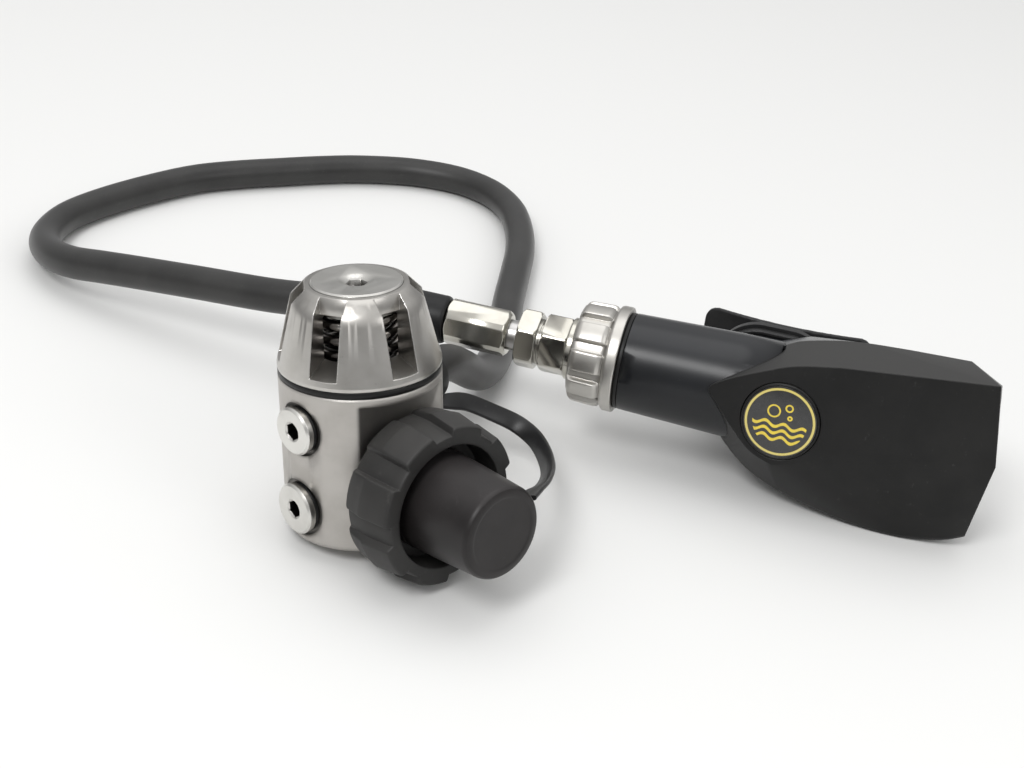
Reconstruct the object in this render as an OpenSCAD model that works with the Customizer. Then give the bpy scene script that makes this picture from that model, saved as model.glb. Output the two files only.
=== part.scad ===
// Scuba regulator set: a diaphragm first stage with a threaded cylinder connection, one
// low pressure hose and a side-exhaust second stage.
// Millimetres. The origin is the centre of the first stage's base face. The set lies on a
// table, so the first stage leans back on the rim of its base and the edge of its hand wheel.

/* [First stage] */
// Diameter of the barrel
body_d = 52; // [46:0.5:58]
// Height of the barrel up to the black ring
body_h = 52.6; // [50:0.1:56]
// Width of the bevel round the base
base_bevel = 1; // [0.5:0.1:2]
// Thickness of the black ring between the barrel and the cage
ring_h = 2.4; // [1.8:0.1:3]
// Overall height of the first stage
first_h = 82; // [78:0.5:90]
// Diameter of the adjusting plug
plug_d = 29.2; // [26:0.2:30]
// Diameter of the shoulder near the top of the cage
shoulder_d = 42.2; // [40:0.2:46]
// Number of slots in the cage
slots = 6; // [5:1:8]
// Width of one slot
slot_w = 9.2; // [6:0.1:10]
// Height of the connector axis above the base
din_z = 19.2; // [17:0.1:21]
// Distance from the barrel's axis to the milled face under the connector
flat_d = 20; // [19.5:0.1:21]
// Height of the high pressure ports
high_z = 12; // [11:0.1:13]
// Diameter of the low pressure plug heads
low_head_d = 15.6; // [13:0.1:16]
// Diameter of the high pressure plug heads
high_head_d = 16.8; // [14:0.1:17.4]

/* [Cylinder connection] */
// Diameter of the connector thread
din_d = 22.9; // [22.5:0.05:23]
// Distance from the barrel's axis to the face of the dust cap
cap_end = 66.5; // [65:0.5:70]
// Diameter of the dust cap at its face
cap_d = 29.7; // [28:0.1:31]
// Largest diameter of the hand wheel
wheel_d = 55; // [50:0.5:56]
// Number of grip pads on the hand wheel
pads = 8; // [6:1:10]
// Angle covered by one grip pad
pad_angle = 28; // [20:1:32]
// How far the dust cap is pulled to come off
cap_pull = 30; // [29:1:36]

/* [Hose] */
// Diameter of the hose
hose_d = 13; // [11:0.1:13.5]
// Diameter of the sleeve on the hose
sleeve_d = 17.6; // [16.5:0.1:19]
// Diameter across the corners of the crimped ferrule
ferrule_d = 17.1; // [16:0.1:18.5]
// Width of the cap strap
strap_w = 6.5; // [5:0.1:8]
// Thickness of the cap strap
strap_t = 1.6; // [1.2:0.1:2]

/* [Second stage] */
// Diameter of the valve tube at the inlet
tube_d = 34.6; // [33:0.1:36]
// Diameter of the valve tube where it meets the cover
tube_end_d = 37; // [36.4:0.1:38]
// Diameter of the retaining nut
nut_d = 38; // [37:0.1:40]
// Width across flats of the two inlet hexagons
inlet_af = 19; // [18:0.1:20]
// Wall of the cover and of the housing
wall = 2.2; // [2:0.1:2.4]
// Diameter of the purge button
button_d = 26.8; // [26:0.1:27]
// Travel of the purge button
press = 2.5; // [2:0.1:2.6]
// Depth of the housing behind the tube's axis
back_y = 21; // [20:0.5:23]

/* [Shown part] */
// Name of the piece to draw, or all

/* [Hidden] */

$fn = 96;
e = 0.01;
fit = 0.05;
gap = 0.3;

// First stage, measured along and out from the barrel's axis
body_r = body_d / 2;
low_z = body_h - 13.1;
base_r = body_r - base_bevel;
band_top = body_h + ring_h;
wheel_r = wheel_d / 2;
pad_back = flat_d + 12;
lean = atan((wheel_r - din_z) / (pad_back + base_r));
turn = -44;
base_h = 6;
base_thread_r = 14;
chamber_r = 9;
web_z = 26;
port_floor = low_z - 8.5;
seat_r = 5;
upper_r = 14;
dia_z = body_h - 6.6;
dia_t = 1.4;
washer_t = 1.6;
dia_r = 18;
cage_r = 15.5;
plug_bottom = first_h - 8;
pad_top = dia_z + dia_t + 4.9;
flat_top = body_h - 2.6;
port_face = body_r - 1.8;
thread_r = 4.76;
port_ring = 1.9;
head_t = 2.5;
slot_phase = -64.2;
collar_r = plug_d / 2 + 1.6;
cage_top = first_h - 0.6;
low_plug_angles = [-87, 180];
high_plug_angles = [-90, 90];
hose_angle = 110;
hose_z = low_z - 4.5;
fitting_end = body_r + 14;
loop_at = fitting_end - 3.5;
low_face_r = low_head_d / 2 + 1;
high_face_r = high_head_d / 2 + 1;

// Cylinder connection, measured out along its own axis
stem_r = 7.5;
tip_r = 9.2;
tip_back = cap_end - 9.1;
tip_end = cap_end - 5.5;
hub_r = 12.5;
hub_back = flat_d + 2.6;
web_front = flat_d + 13;
wheel_front = flat_d + 23;
recess_r = 20;
filter_r = 5.2;
cap_back = web_front + gap;
cap_in_r = din_d / 2 + 1.15;

// Second stage, x along the valve tube from the gap ring to the exhaust
second_at = [83, 65, 32.5];
roll = 10;
heading = -13;
tube_r = tube_d / 2;
tube_end_r = tube_end_d / 2;
tube_bore_r = 13;
spigot_r = nut_d / 2 - 9;
neck_r = min(nut_d / 2 - 3.5, tube_r - 1.8);
ferrule_x = -67.5;
ferrule_end = -44;
sleeve_x = -85.5;
barrel_r = 6;
barrel_bore = 4.6;
barrel_end = 70;
orifice_end = 12;
spring_start = 17;
spring_stop = 50;
shaft_end = 67.2;
pivot = [66, -7.6];
pivot_r = 0.9;
rim_tilt = 9.46;
rim_y = -9;
rim_z = -37;
back_z = 1;
front_y = -22.1;
front_x = 73;
front_turn = 4.34;
badge_at = [57, -20.87, -2];
badge_turn = 4.34;
drum_face = -9;
drum_r = 15;
drum_bore = 13.2;
partition_x = 96;
skirt_r = button_d / 2 + 0.85;
skirt_top = -2.7;
badge_d = button_d - 1.6;
exhaust_at = [8.6, -4];
exhaust_r = 7.8;
mouth_x = 48;
mouth_w = 36;
mouth_h = 26;
flange_x = 50;
flange_y = 54;
flange_z = -8.8;
flange_w = 64;
flange_h = 35.4;
flange_t = 2.4;
flange_bend = 88;
flange_corner = 5;
neck_w = 42;
neck_h = 20;

// Outline of the cover's front face, left part and right part
face_left = [[31.1, 3.2], [36, 7.6], [48.6, 14.1], [59, 18.5], [73, 21.6], [71, -9], [65, -15.5],
    [57, -17.8], [49, -15], [42, -9], [35, -1.5]];
face_right = [[73, 21.6], [103.8, 24.7], [123.3, 26.9], [128.1, -0.5], [74, -3]];
// Outline of the rim where the cover meets the housing
rim = [[29.8, -2], [33.3, 3.1], [39.5, 8.9], [46.5, 14.6], [55.5, 19.8], [63, 22.1], [75.5, 24.4],
    [90, 25.4], [104, 25.9], [114.2, 26.2], [125.7, 20.4], [129.3, -3], [125.6, -32.2],
    [118.5, -35.2], [104.5, -37.6], [90, -37.3], [74, -34.8], [57.9, -30.6], [46.4, -25.2],
    [36, -16.2], [31.4, -9.3]];
// Outline of the housing's back wall
back = [[36, -4], [44, 10], [60, 16], [108, 17], [120, 10], [123, -12], [113, -25], [70, -25],
    [48, -18]];

// Route of the hose's centre line
route = [[18.5, 52.5, 30.4], [21.5, 60, 26.4], [24.3, 67, 21.4], [27.5, 75, 15.4],
    [30.5, 83.5, 10.4], [33, 94, 6.6], [35, 106, 4.3], [36.5, 122, 3.3], [37.2, 142, 3.1],
    [37.7, 162, 3.1], [39, 187, 3.1], [39.7, 209, 3.1], [38, 231, 3.1], [33, 252, 3.1],
    [22.5, 269, 3.1], [6, 280, 3.1], [-16, 283.5, 3.1], [-40, 280, 3.1], [-59, 273.5, 3.1],
    [-78, 265, 3.1], [-96, 256.5, 3.1], [-113, 246, 3.1], [-130, 229, 3.1], [-145, 210, 3.1],
    [-155, 192, 3.2], [-158, 175, 3.6], [-155.5, 160, 5], [-148, 146, 7.5], [-136.5, 135, 10.5],
    [-122, 127, 14], [-106, 119.5, 17.2], [-79, 107.5, 22], [-50, 96.5, 26], [-30, 90.8, 29.2],
    [-14, 87.5, 31.6]];
// Route of the strap's middle, and the direction of its width along the way
strap_route = [on_first(loop_at, hose_angle, hose_z) + [7.2, -2.1, -8.3],
    on_first(loop_at, hose_angle, hose_z) + [11.7, 1.3, -9], [28.6, 41.5, 22], [38.2, 43.8, 17.5],
    [46.1, 43.4, 14.5], [52.5, 38, 13], [56.3, 27.8, 13.5], [58, 13.1, 16.5], [56.5, -2.8, 21.5],
    [53.5, -16.2, 27], [51.2, -26, 30.5]];
strap_side = [[0.41, 0.9, -0.1], [0.3, 0.9, 0.2], [0.1, 0.8, 0.5], [0, 0.75, 0.65],
    [0.1, 0.7, 0.7], [0.35, 0.5, 0.8], [0.55, 0.3, 0.8], [0.6, 0.1, 0.8], [0.5, 0.2, 0.85],
    [0.35, 0.3, 0.9], [0.2, 0.35, 0.92]];

// ---------- helpers ----------

module first_stage() {
    rotate([0, -lean, turn]) children();
}

// A point of the first stage, out by d at an angle and up by z, where it lies on the table
function on_first(d, angle, z) =
    let (y = d * sin(angle), xt = d * cos(angle) * cos(lean) - z * sin(lean))
    [xt * cos(turn) - y * sin(turn), xt * sin(turn) + y * cos(turn),
        d * cos(angle) * sin(lean) + z * cos(lean)];

module port(angle, z) {
    rotate(angle) translate([0, 0, z]) rotate([0, 90, 0]) children();
}

module connector() {
    first_stage() translate([0, 0, din_z]) rotate([0, 90, 0]) children();
}

module second_stage() {
    translate(second_at) rotate([-roll, 0, heading]) children();
}

module tube_axis() {
    second_stage() rotate([0, 90, 0]) children();
}

module badge_axis() {
    translate(badge_at) rotate([90, 0, -badge_turn]) children();
}

module ring(inner, outer, z0, z1) {
    rotate_extrude() polygon([[inner, z0], [outer, z0], [outer, z1], [inner, z1]]);
}

module bevelled(r, z0, z1, c) {
    rotate_extrude() polygon([[0, z0], [r - c, z0], [r, z0 + c], [r, z1 - c], [r - c, z1], [0, z1]]);
}

module torus(big, small, z) {
    translate([0, 0, z]) rotate_extrude() translate([big, 0]) circle(r = small, $fn = 32);
}

module hexagon(af, z0, z1) {
    intersection() {
        translate([0, 0, z0]) cylinder(d = af / cos(30), h = z1 - z0, $fn = 6);
        bevelled(af / cos(30) / 2 - 0.15, z0, z1, 0.8);
    }
}

module oval(w, h) {
    square([w - h, h], center = true);
    translate([(w - h) / 2, 0]) circle(d = h);
    translate([(h - w) / 2, 0]) circle(d = h);
}

// Round section swept along points; the path never turns straight up
function unit(v) = v / norm(v);
function along(p, i) = unit(p[min(i + 1, len(p) - 1)] - p[max(i - 1, 0)]);
function side(t) = unit(cross(t, [0, 0, 1]));

module sweep(p, r, n) {
    m = len(p);
    pts = [for (i = [0:m - 1]) let (t = along(p, i), s = side(t), u = cross(s, t))
        for (k = [0:n - 1]) p[i] + r * (cos(360 * k / n) * s + sin(360 * k / n) * u)];
    sides = [for (i = [0:m - 2]) for (k = [0:n - 1]) let (a = i * n + k, b = i * n + (k + 1) % n)
        [a, b, b + n, a + n]];
    caps = [[for (k = [n - 1:-1:0]) k], [for (k = [0:n - 1]) (m - 1) * n + k]];
    polyhedron(points = pts, faces = concat(sides, caps), convexity = 6);
}

function smooth(p, k) = [for (i = [0:len(p) - 2]) for (j = [0:k - 1])
    blend(p[max(i - 1, 0)], p[i], p[i + 1], p[min(i + 2, len(p) - 1)], j / k), p[len(p) - 1]];
function blend(a, b, c, d, t) = 0.5 * (2 * b + (c - a) * t + (2 * a - 5 * b + 4 * c - d) * t * t
    + (3 * b - a - 3 * c + d) * t * t * t);

// Coil spring with flat end turns, from z0 to z1
module coil(big, wire, z0, z1, turns, n) {
    steps = ceil(turns * n);
    rise = z1 - z0 - 2 * wire;
    p = [for (i = [0:steps]) let (f = i / steps, g = min(1, max(0, (f * turns - 0.5) / (turns - 1))))
        [big * cos(360 * turns * f), big * sin(360 * turns * f), z0 + wire + rise * g]];
    sweep(p, wire, 8);
}

// Thin plates that the cover and the housing are spanned between
module rim_plate(shift, inset) {
    translate([0, rim_y + shift, rim_z]) rotate([90 - rim_tilt, 0, 0])
        linear_extrude(0.02, center = true) scale([1, 1 / cos(rim_tilt)]) translate([0, -rim_z])
            offset(delta = -inset) polygon(rim);
}

module left_plate(shift, inset) {
    translate([front_x, front_y + shift, 0]) rotate([90, 0, -front_turn])
        linear_extrude(0.02, center = true) translate([-front_x, 0])
            offset(delta = -inset) polygon(face_left);
}

module right_plate(shift, inset) {
    translate([0, front_y + shift, 0]) rotate([90, 0, 0]) linear_extrude(0.02, center = true)
        offset(delta = -inset) polygon(face_right);
}

module back_plate(shift, inset) {
    translate([0, back_y + shift, back_z]) rotate([90, 0, 0]) linear_extrude(0.02, center = true)
        offset(delta = -inset) polygon(back);
}

module tube_solid(extra) {
    rotate([0, 90, 0]) rotate_extrude() polygon([[0, 0], [tube_r + extra, 0],
        [tube_end_r + extra, 38], [tube_end_r + extra, 52], [0, 52]]);
}

module exhaust_cut() {
    translate([partition_x + 16, -13, -18]) cube([40, 26, 35]);
}

// ---------- first stage ----------

module barrel() {
    color("silver") first_stage() difference() {
        rotate_extrude() polygon([[0, 0], [base_r, 0], [body_r, base_bevel * 1.2],
            [body_r, body_h], [0, body_h]]);
        translate([0, 0, -e]) cylinder(r = base_thread_r, h = base_h + e);
        translate([0, 0, base_h - e]) cylinder(r = chamber_r, h = web_z - base_h + e);
        translate([0, 0, web_z - e]) cylinder(r = seat_r, h = port_floor - web_z + 2 * e);
        translate([0, 0, port_floor]) cylinder(r = upper_r, h = dia_z - port_floor + e);
        translate([0, 0, dia_z]) cylinder(r = dia_r, h = body_h - dia_z + e);
        translate([flat_d, -body_d, -1]) cube([body_d, 2 * body_d, flat_top + 1]);
        port(0, din_z) cylinder(r = stem_r, h = body_d);
        for (a = [low_plug_angles[0], low_plug_angles[1]]) port(a, low_z) {
            cylinder(r = thread_r, h = body_d);
            translate([0, 0, port_face]) cylinder(r = low_face_r, h = body_d);
        }
        port(hose_angle, hose_z) {
            cylinder(r = thread_r, h = body_d);
            translate([0, 0, port_face]) cylinder(r = low_face_r, h = body_d);
        }
        for (a = high_plug_angles) port(a, high_z) {
            cylinder(r = thread_r - 1, h = body_d);
            translate([0, 0, port_face]) cylinder(r = high_face_r, h = body_d);
        }
    }
}

module spring_cage() {
    color("gainsboro") first_stage() difference() {
        rotate_extrude() polygon([[cage_r, body_h - 3.6], [dia_r, body_h - 3.6], [dia_r, band_top],
            [body_r, band_top], [body_r, band_top + 1], [body_r - 1, band_top + 5.5],
            [shoulder_d / 2, first_h - 5.3], [collar_r + 0.6, cage_top - 0.2], [collar_r, cage_top],
            [plug_d / 2, cage_top], [plug_d / 2, plug_bottom], [cage_r, plug_bottom]]);
        for (i = [0:slots - 1]) rotate(slot_phase + i * 360 / slots) rotate([90, 0, 0])
            linear_extrude(slot_w, center = true) polygon([[cage_r - 2, band_top + 6],
                [body_r + 2, band_top + 2], [body_r + 2, first_h], [collar_r, first_h],
                [collar_r, plug_bottom + 1.6], [cage_r - 2, plug_bottom + 1.6]]);
    }
}

module seal_ring() {
    color("black") first_stage() ring(dia_r, body_r, body_h, band_top);
}

module adjusting_plug() {
    color("silver") first_stage() difference() {
        rotate_extrude() polygon([[0, plug_bottom], [plug_d / 2 - fit, plug_bottom],
            [plug_d / 2 - fit, first_h - 0.5], [plug_d / 2 - 0.6, first_h], [0, first_h]]);
        translate([0, 0, first_h - 6]) cylinder(d = 6 / cos(30), h = 6 + e, $fn = 6);
        translate([0, 0, first_h - 1.2]) cylinder(r1 = 3.4, r2 = 6, h = 1.2 + e);
    }
}

module main_spring() {
    color("dimgray") first_stage() coil(12.1, 1.8, pad_top, plug_bottom, 4.6, 20);
}

module spring_pad() {
    color("silver") first_stage() rotate_extrude() polygon([[0, dia_z + dia_t], [12.6, dia_z + dia_t],
        [12.6, pad_top - 1.7], [14.8, pad_top - 1.7], [14.8, pad_top], [9.8, pad_top],
        [9.6, pad_top + 1.8], [4, pad_top + 1.8], [4, pad_top - 1], [0, pad_top - 1]]);
}

module first_diaphragm() {
    color("black") first_stage() translate([0, 0, dia_z]) cylinder(r = dia_r, h = dia_t);
}

module clamp_washer() {
    color("gray") first_stage() ring(13.2, dia_r, dia_z + dia_t, dia_z + dia_t + washer_t);
}

module valve_lifter() {
    color("gray") first_stage() {
        translate([0, 0, dia_z - 1.8]) cylinder(r = 11, h = 1.8);
        translate([0, 0, web_z]) cylinder(r = 1.1, h = dia_z - 1.8 - web_z);
    }
}

module seat_crown() {
    color("goldenrod") first_stage() rotate_extrude() polygon([[1.9, web_z], [seat_r, web_z],
        [seat_r, port_floor], [8.5, port_floor], [8.5, port_floor + 1.6], [1.9, port_floor + 1.6]]);
}

module pressure_poppet() {
    color("silver") first_stage() rotate_extrude() polygon([[0, 9.5], [1.9, 9.5], [1.9, 21.5],
        [3.7, 21.5], [3.7, web_z - 0.6], [3.1, web_z], [0, web_z]]);
}

module poppet_spring() {
    color("gray") first_stage() coil(2.95, 0.45, 14, 21.5, 4, 12);
}

module base_plug() {
    color("silver") first_stage() difference() {
        rotate_extrude() polygon([[0, 0], [base_thread_r - 0.6, 0], [base_thread_r, 0.6],
            [base_thread_r, base_h - 1.8], [base_thread_r - 2.2, base_h - 1.8],
            [base_thread_r - 2.2, base_h], [6.2, base_h], [6.2, 14], [2.3, 14], [2.3, 7.5], [0, 7.5]]);
        for (s = [-1, 1]) translate([s * 8.5, 0, -e]) cylinder(r = 1.6, h = 3.5);
    }
}

module base_o_ring() {
    color("black") first_stage() torus(base_thread_r - 1.1, 0.9, base_h - 0.9);
}

module plug(r, head_r) {
    head = port_face + port_ring;
    difference() {
        rotate_extrude() polygon([[0, 16], [r - 0.6, 16], [r, 16.6], [r, head], [head_r, head],
            [head_r, head + head_t - 0.7], [head_r - 0.7, head + head_t], [0, head + head_t]]);
        translate([0, 0, head + head_t - 4]) cylinder(d = 5 / cos(30), h = 4 + e, $fn = 6);
        translate([0, 0, head + head_t - 0.5]) cylinder(r1 = 2.8, r2 = 3.3, h = 0.5 + e);
    }
}

module low_port_plugs() {
    color("silver") first_stage()
        for (a = low_plug_angles) port(a, low_z) plug(thread_r, low_head_d / 2);
}

module low_port_o_rings() {
    color("black") first_stage()
        for (a = low_plug_angles) port(a, low_z)
            torus(low_head_d / 2 - 1.2, port_ring / 2, port_face + port_ring / 2);
}

module high_port_plugs() {
    color("silver") first_stage()
        for (a = high_plug_angles) port(a, high_z) plug(thread_r - 1, high_head_d / 2);
}

module high_port_o_rings() {
    color("black") first_stage()
        for (a = high_plug_angles) port(a, high_z)
            torus(high_head_d / 2 - 1.2, port_ring / 2, port_face + port_ring / 2);
}

// ---------- cylinder connection ----------

module connector_stem() {
    color("silver") connector() difference() {
        rotate_extrude() polygon([[3.2, 10], [stem_r, 10], [stem_r, flat_d], [10.5, flat_d],
            [10.5, flat_d + 2], [stem_r, flat_d + 2], [stem_r, tip_back], [tip_r, tip_back],
            [tip_r, tip_end - 0.5], [tip_r - 0.5, tip_end], [filter_r, tip_end],
            [filter_r, tip_back - 3], [3.2, tip_back - 3]]);
        ring(6.1, 8.1, tip_end - 1.7, tip_end + e);
    }
}

module inlet_filter() {
    color("darkkhaki") connector() translate([0, 0, tip_back - 3]) cylinder(r = filter_r, h = 3.5);
}

module filter_clip() {
    color("gray") connector() ring(filter_r - 0.8, filter_r, tip_back + 0.5, tip_back + 1.4);
}

module connector_o_ring() {
    color("black") connector() torus(7.1, 0.95, tip_end - 0.75);
}

module threaded_sleeve() {
    color("silver") connector() rotate_extrude() polygon([[stem_r + fit, hub_back - 0.2],
        [hub_r, hub_back - 0.2], [hub_r, web_front - 2], [din_d / 2 - 1.2, web_front - 2],
        [din_d / 2 - 1.2, web_front], [din_d / 2, web_front + 1.6], [din_d / 2, tip_back - 1.4],
        [din_d / 2 - 1, tip_back - gap], [stem_r + fit, tip_back - gap]]);
}

module hand_wheel() {
    web = [[hub_r, hub_back], [recess_r + 3.4, hub_back], [wheel_r - 2.6, hub_back + 1.6],
        [wheel_r - 2.4, pad_back - 0.5], [wheel_r - 3.6, wheel_front], [recess_r, wheel_front],
        [recess_r, web_front], [hub_r, web_front]];
    pad = [[wheel_r - 4.6, hub_back + 0.4], [wheel_r - 2.4, hub_back + 0.4], [wheel_r - 1.2, hub_back + 2],
        [wheel_r - 0.3, pad_back - 1], [wheel_r, pad_back], [wheel_r - 1.4, wheel_front - 0.6],
        [wheel_r - 2.1, wheel_front], [wheel_r - 4.6, wheel_front]];
    color("dimgray") connector() {
        rotate_extrude() polygon(web);
        for (i = [0:pads - 1]) rotate(117.5 - pad_angle / 2 + i * 360 / pads)
            rotate_extrude(angle = pad_angle) polygon(pad);
    }
}

module dust_cap() {
    color("dimgray") connector() rotate_extrude() polygon([[cap_in_r, cap_back],
        [cap_d / 2 + 1.7, cap_back], [cap_d / 2 + 1.1, cap_back + 12], [cap_d / 2 + 0.1, cap_end - 1.4],
        [cap_d / 2 - 1.3, cap_end], [0, cap_end], [0, tip_end + 1], [cap_in_r, tip_end + 1]]);
}

// Flat strap along its route
module cap_strap() {
    p = smooth(strap_route, 3);
    w = smooth(strap_side, 3);
    m = len(p);
    pts = [for (i = [0:m - 1]) let (t = along(p, i), s = unit(w[i] - (w[i] * t) * t), u = cross(s, t))
        for (c = [[-1, -1], [1, -1], [1, 1], [-1, 1]])
            p[i] + c[0] * strap_w / 2 * s + c[1] * strap_t / 2 * u];
    sides = [for (i = [0:m - 2]) for (k = [0:3]) let (a = i * 4 + k, b = i * 4 + (k + 1) % 4)
        [a, b, b + 4, a + 4]];
    color("black") {
        polyhedron(points = pts, faces = concat(sides,
            [[3, 2, 1, 0], [for (k = [0:3]) (m - 1) * 4 + k]]), convexity = 6);
        first_stage() port(hose_angle, hose_z)
            ring(ferrule_d / 2, ferrule_d / 2 + strap_t, loop_at - 3, loop_at + 3);
    }
}

// ---------- hose ----------

module hose_fitting() {
    color("silver") first_stage() port(hose_angle, hose_z) difference() {
        union() {
            translate([0, 0, 16]) cylinder(r = thread_r, h = port_face + port_ring - 15);
            hexagon(inlet_af - 2, port_face + port_ring, fitting_end - 7);
            bevelled(ferrule_d / 2, fitting_end - 7, fitting_end, 0.8);
        }
        translate([0, 0, 15]) cylinder(r = 2.2, h = 60);
    }
}

module hose_fitting_o_ring() {
    color("black") first_stage() port(hose_angle, hose_z)
        torus(thread_r + port_ring / 2 + 0.3, port_ring / 2, port_face + port_ring / 2);
}

module lp_hose() {
    start = [for (d = [0, 2, 4]) on_first(fitting_end + d, hose_angle, hose_z)];
    finish = [for (x = [sleeve_x - 2, sleeve_x + 6, ferrule_x - 6, ferrule_x])
        second_at + x * [cos(heading), sin(heading), 0]];
    color("dimgray") sweep(smooth(concat(start, route, finish), 2), hose_d / 2, 12);
}

module hose_sleeve() {
    color("black") tube_axis() rotate_extrude() polygon([[hose_d / 2 + 0.15, sleeve_x],
        [sleeve_d / 2 - 1.4, sleeve_x], [sleeve_d / 2, sleeve_x + 2], [sleeve_d / 2, ferrule_x - 0.8],
        [sleeve_d / 2 - 0.8, ferrule_x], [hose_d / 2 + 0.15, ferrule_x]]);
}

module hose_ferrule() {
    color("silver") tube_axis() difference() {
        intersection() {
            translate([0, 0, ferrule_x]) cylinder(d = ferrule_d + 1, h = ferrule_end - ferrule_x, $fn = 6);
            bevelled(ferrule_d / 2, ferrule_x, ferrule_end, 1.4);
        }
        translate([0, 0, ferrule_x - 1]) cylinder(r = 3.5, h = 40);
    }
}

module hose_stem() {
    color("darkslategray") tube_axis() difference() {
        rotate_extrude() polygon([[2.3, ferrule_x + 1.5], [3.5, ferrule_x + 1.5], [3.5, ferrule_end],
            [5.5, ferrule_end], [5.5, -37.9], [6.4, -37.9], [6.4, -36.3], [4.2, -36.3], [4.2, -26],
            [2.3, -26]]);
        ring(3, 5, -30.6, -29.3);
    }
}

module stem_o_ring() {
    color("black") tube_axis() torus(3.6, 0.6, -29.95);
}

// ---------- second stage ----------

module swivel_nut() {
    color("silver") tube_axis() difference() {
        union() {
            hexagon(inlet_af, -40, -33);
            translate([0, 0, -33.5]) cylinder(r = 8.2, h = 1.5);
        }
        translate([0, 0, -41]) cylinder(r = 5.5 + fit, h = 20);
        translate([0, 0, -38]) cylinder(r = 6.8, h = 20);
    }
}

module inlet_fitting() {
    color("silver") tube_axis() difference() {
        union() {
            ring(4.2 + fit, 6.8, -36.2, -31);
            ring(4.2 + fit, 8.2, -32, -30.9);
            hexagon(inlet_af, -31, -21.5);
            bevelled(spigot_r + 1.2, -21.6, -19, 0.5);
            translate([0, 0, -19.5]) cylinder(r = spigot_r, h = 21.5);
        }
        translate([0, 0, -40]) cylinder(r = 4.2 + fit, h = 15);
        translate([0, 0, -26]) cylinder(r = 2.8, h = 40);
    }
}

module retaining_nut() {
    pad = [[neck_r + gap, -18.2], [nut_d / 2 - 2, -18.2], [nut_d / 2 - 0.9, -16.8],
        [nut_d / 2 - 0.6, -8.6], [nut_d / 2 - 1.6, -6.6], [neck_r + gap, -6.6]];
    color("silver") tube_axis() {
        rotate_extrude() polygon([[spigot_r, -19], [nut_d / 2 - 4.2, -19], [nut_d / 2 - 2.9, -17.6],
            [nut_d / 2 - 2.5, -7.2], [nut_d / 2 - 0.6, -6], [nut_d / 2, -5.2], [nut_d / 2, -2.4],
            [nut_d / 2 - 0.6, -1.8], [neck_r, -1.8], [neck_r, -12], [spigot_r, -12]]);
        for (i = [0:9]) rotate(i * 36) rotate_extrude(angle = 24) polygon(pad);
    }
}

module gap_ring() {
    color("black") tube_axis() ring(neck_r, tube_r, -1.8, 0);
}

module housing() {
    color([0.2, 0.2, 0.22]) second_stage() difference() {
        union() {
            difference() {
                hull() {
                    rim_plate(0, 0);
                    back_plate(0, 0);
                }
                hull() {
                    rim_plate(-1, wall);
                    back_plate(-wall, wall);
                }
            }
            intersection() {
                hull() {
                    rim_plate(0, wall / 2);
                    back_plate(0, wall / 2);
                }
                union() {
                    translate([partition_x, -60, -60]) cube([2, 120, 120]);
                    hull() {
                        rim_plate(0.01, wall / 2);
                        rim_plate(1.6, wall / 2);
                    }
                }
            }
            tube_solid(0);
            rotate([0, 90, 0]) translate([0, 0, -12]) cylinder(r = neck_r, h = 13);
            badge_axis() translate([0, 0, drum_face - 12]) cylinder(r = drum_r, h = 12);
            translate([mouth_x, 31, 0]) rotate([90, 0, 0]) linear_extrude(18) oval(mouth_w, mouth_h);
        }
        rotate([0, 90, 0]) translate([0, 0, -13]) cylinder(r = spigot_r, h = 15);
        rotate([0, 90, 0]) translate([0, 0, 2]) cylinder(r = barrel_r, h = 10);
        rotate([0, 90, 0]) translate([0, 0, 6]) cylinder(r = tube_bore_r, h = 34);
        rotate([0, 90, 0]) translate([0, 0, 39]) cylinder(r = barrel_r + 0.2, h = 36);
        badge_axis() translate([0, 0, drum_face - 20]) cylinder(r = drum_bore, h = 21);
        badge_axis() translate([0, 0, drum_face]) cylinder(r = drum_r + 0.4, h = 20);
        translate([mouth_x, 32, 0]) rotate([90, 0, 0]) linear_extrude(25) oval(mouth_w - 4, mouth_h - 4);
        translate([partition_x - 1, exhaust_at[0], exhaust_at[1]]) rotate([0, 90, 0]) {
            difference() {
                ring(2.6, exhaust_r, 0, 4);
                for (i = [0:2]) rotate(i * 120) translate([0, -0.9, 0]) cube([exhaust_r + 1, 1.8, 4]);
            }
            cylinder(r = 1.5, h = 4);
        }
        exhaust_cut();
    }
}

module orifice() {
    color("silver") tube_axis() ring(1.8, barrel_bore, 4, orifice_end);
}

module valve_barrel() {
    color("gray") tube_axis() difference() {
        union() {
            ring(barrel_bore, barrel_r, 2, barrel_end);
            ring(1.7, barrel_bore + 0.2, spring_stop, spring_stop + 2);
            for (s = [-1, 1])
                translate([s * 4 - 0.6, pivot.y - 1.4, pivot.x - 1.4]) cube([1.2, 5, 2.8]);
        }
        translate([-3, -7, pivot.x - 6]) cube([6, 14, barrel_end - pivot.x + 7]);
        translate([-6, pivot.y, pivot.x]) rotate([0, 90, 0]) cylinder(r = pivot_r + fit, h = 12);
    }
}

module valve_poppet() {
    color("gainsboro") tube_axis() rotate_extrude() polygon([[0, orifice_end],
        [barrel_bore - gap, orifice_end], [barrel_bore - gap, spring_start - 1], [3, spring_start],
        [1.4, spring_start], [1.4, shaft_end], [3.6, shaft_end], [3.6, shaft_end + 1.8],
        [0, shaft_end + 1.8]]);
}

module valve_spring() {
    color("gray") tube_axis() coil(2.8, 0.5, spring_start, spring_stop, 12, 12);
}

module lever() {
    color("silver") second_stage() translate([pivot.x, pivot.y, 0]) {
        translate([0, 0, -5]) cylinder(r = pivot_r, h = 10);
        for (s = [-1, 1]) translate([-0.6, 0, s * 1.8 - 0.6]) cube([1.2, 5.8, 1.2]);
        rotate([0, 0, 22]) translate([-9.8, -0.6, -2.4]) cube([9.8, 1.2, 4.8]);
    }
}

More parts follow.
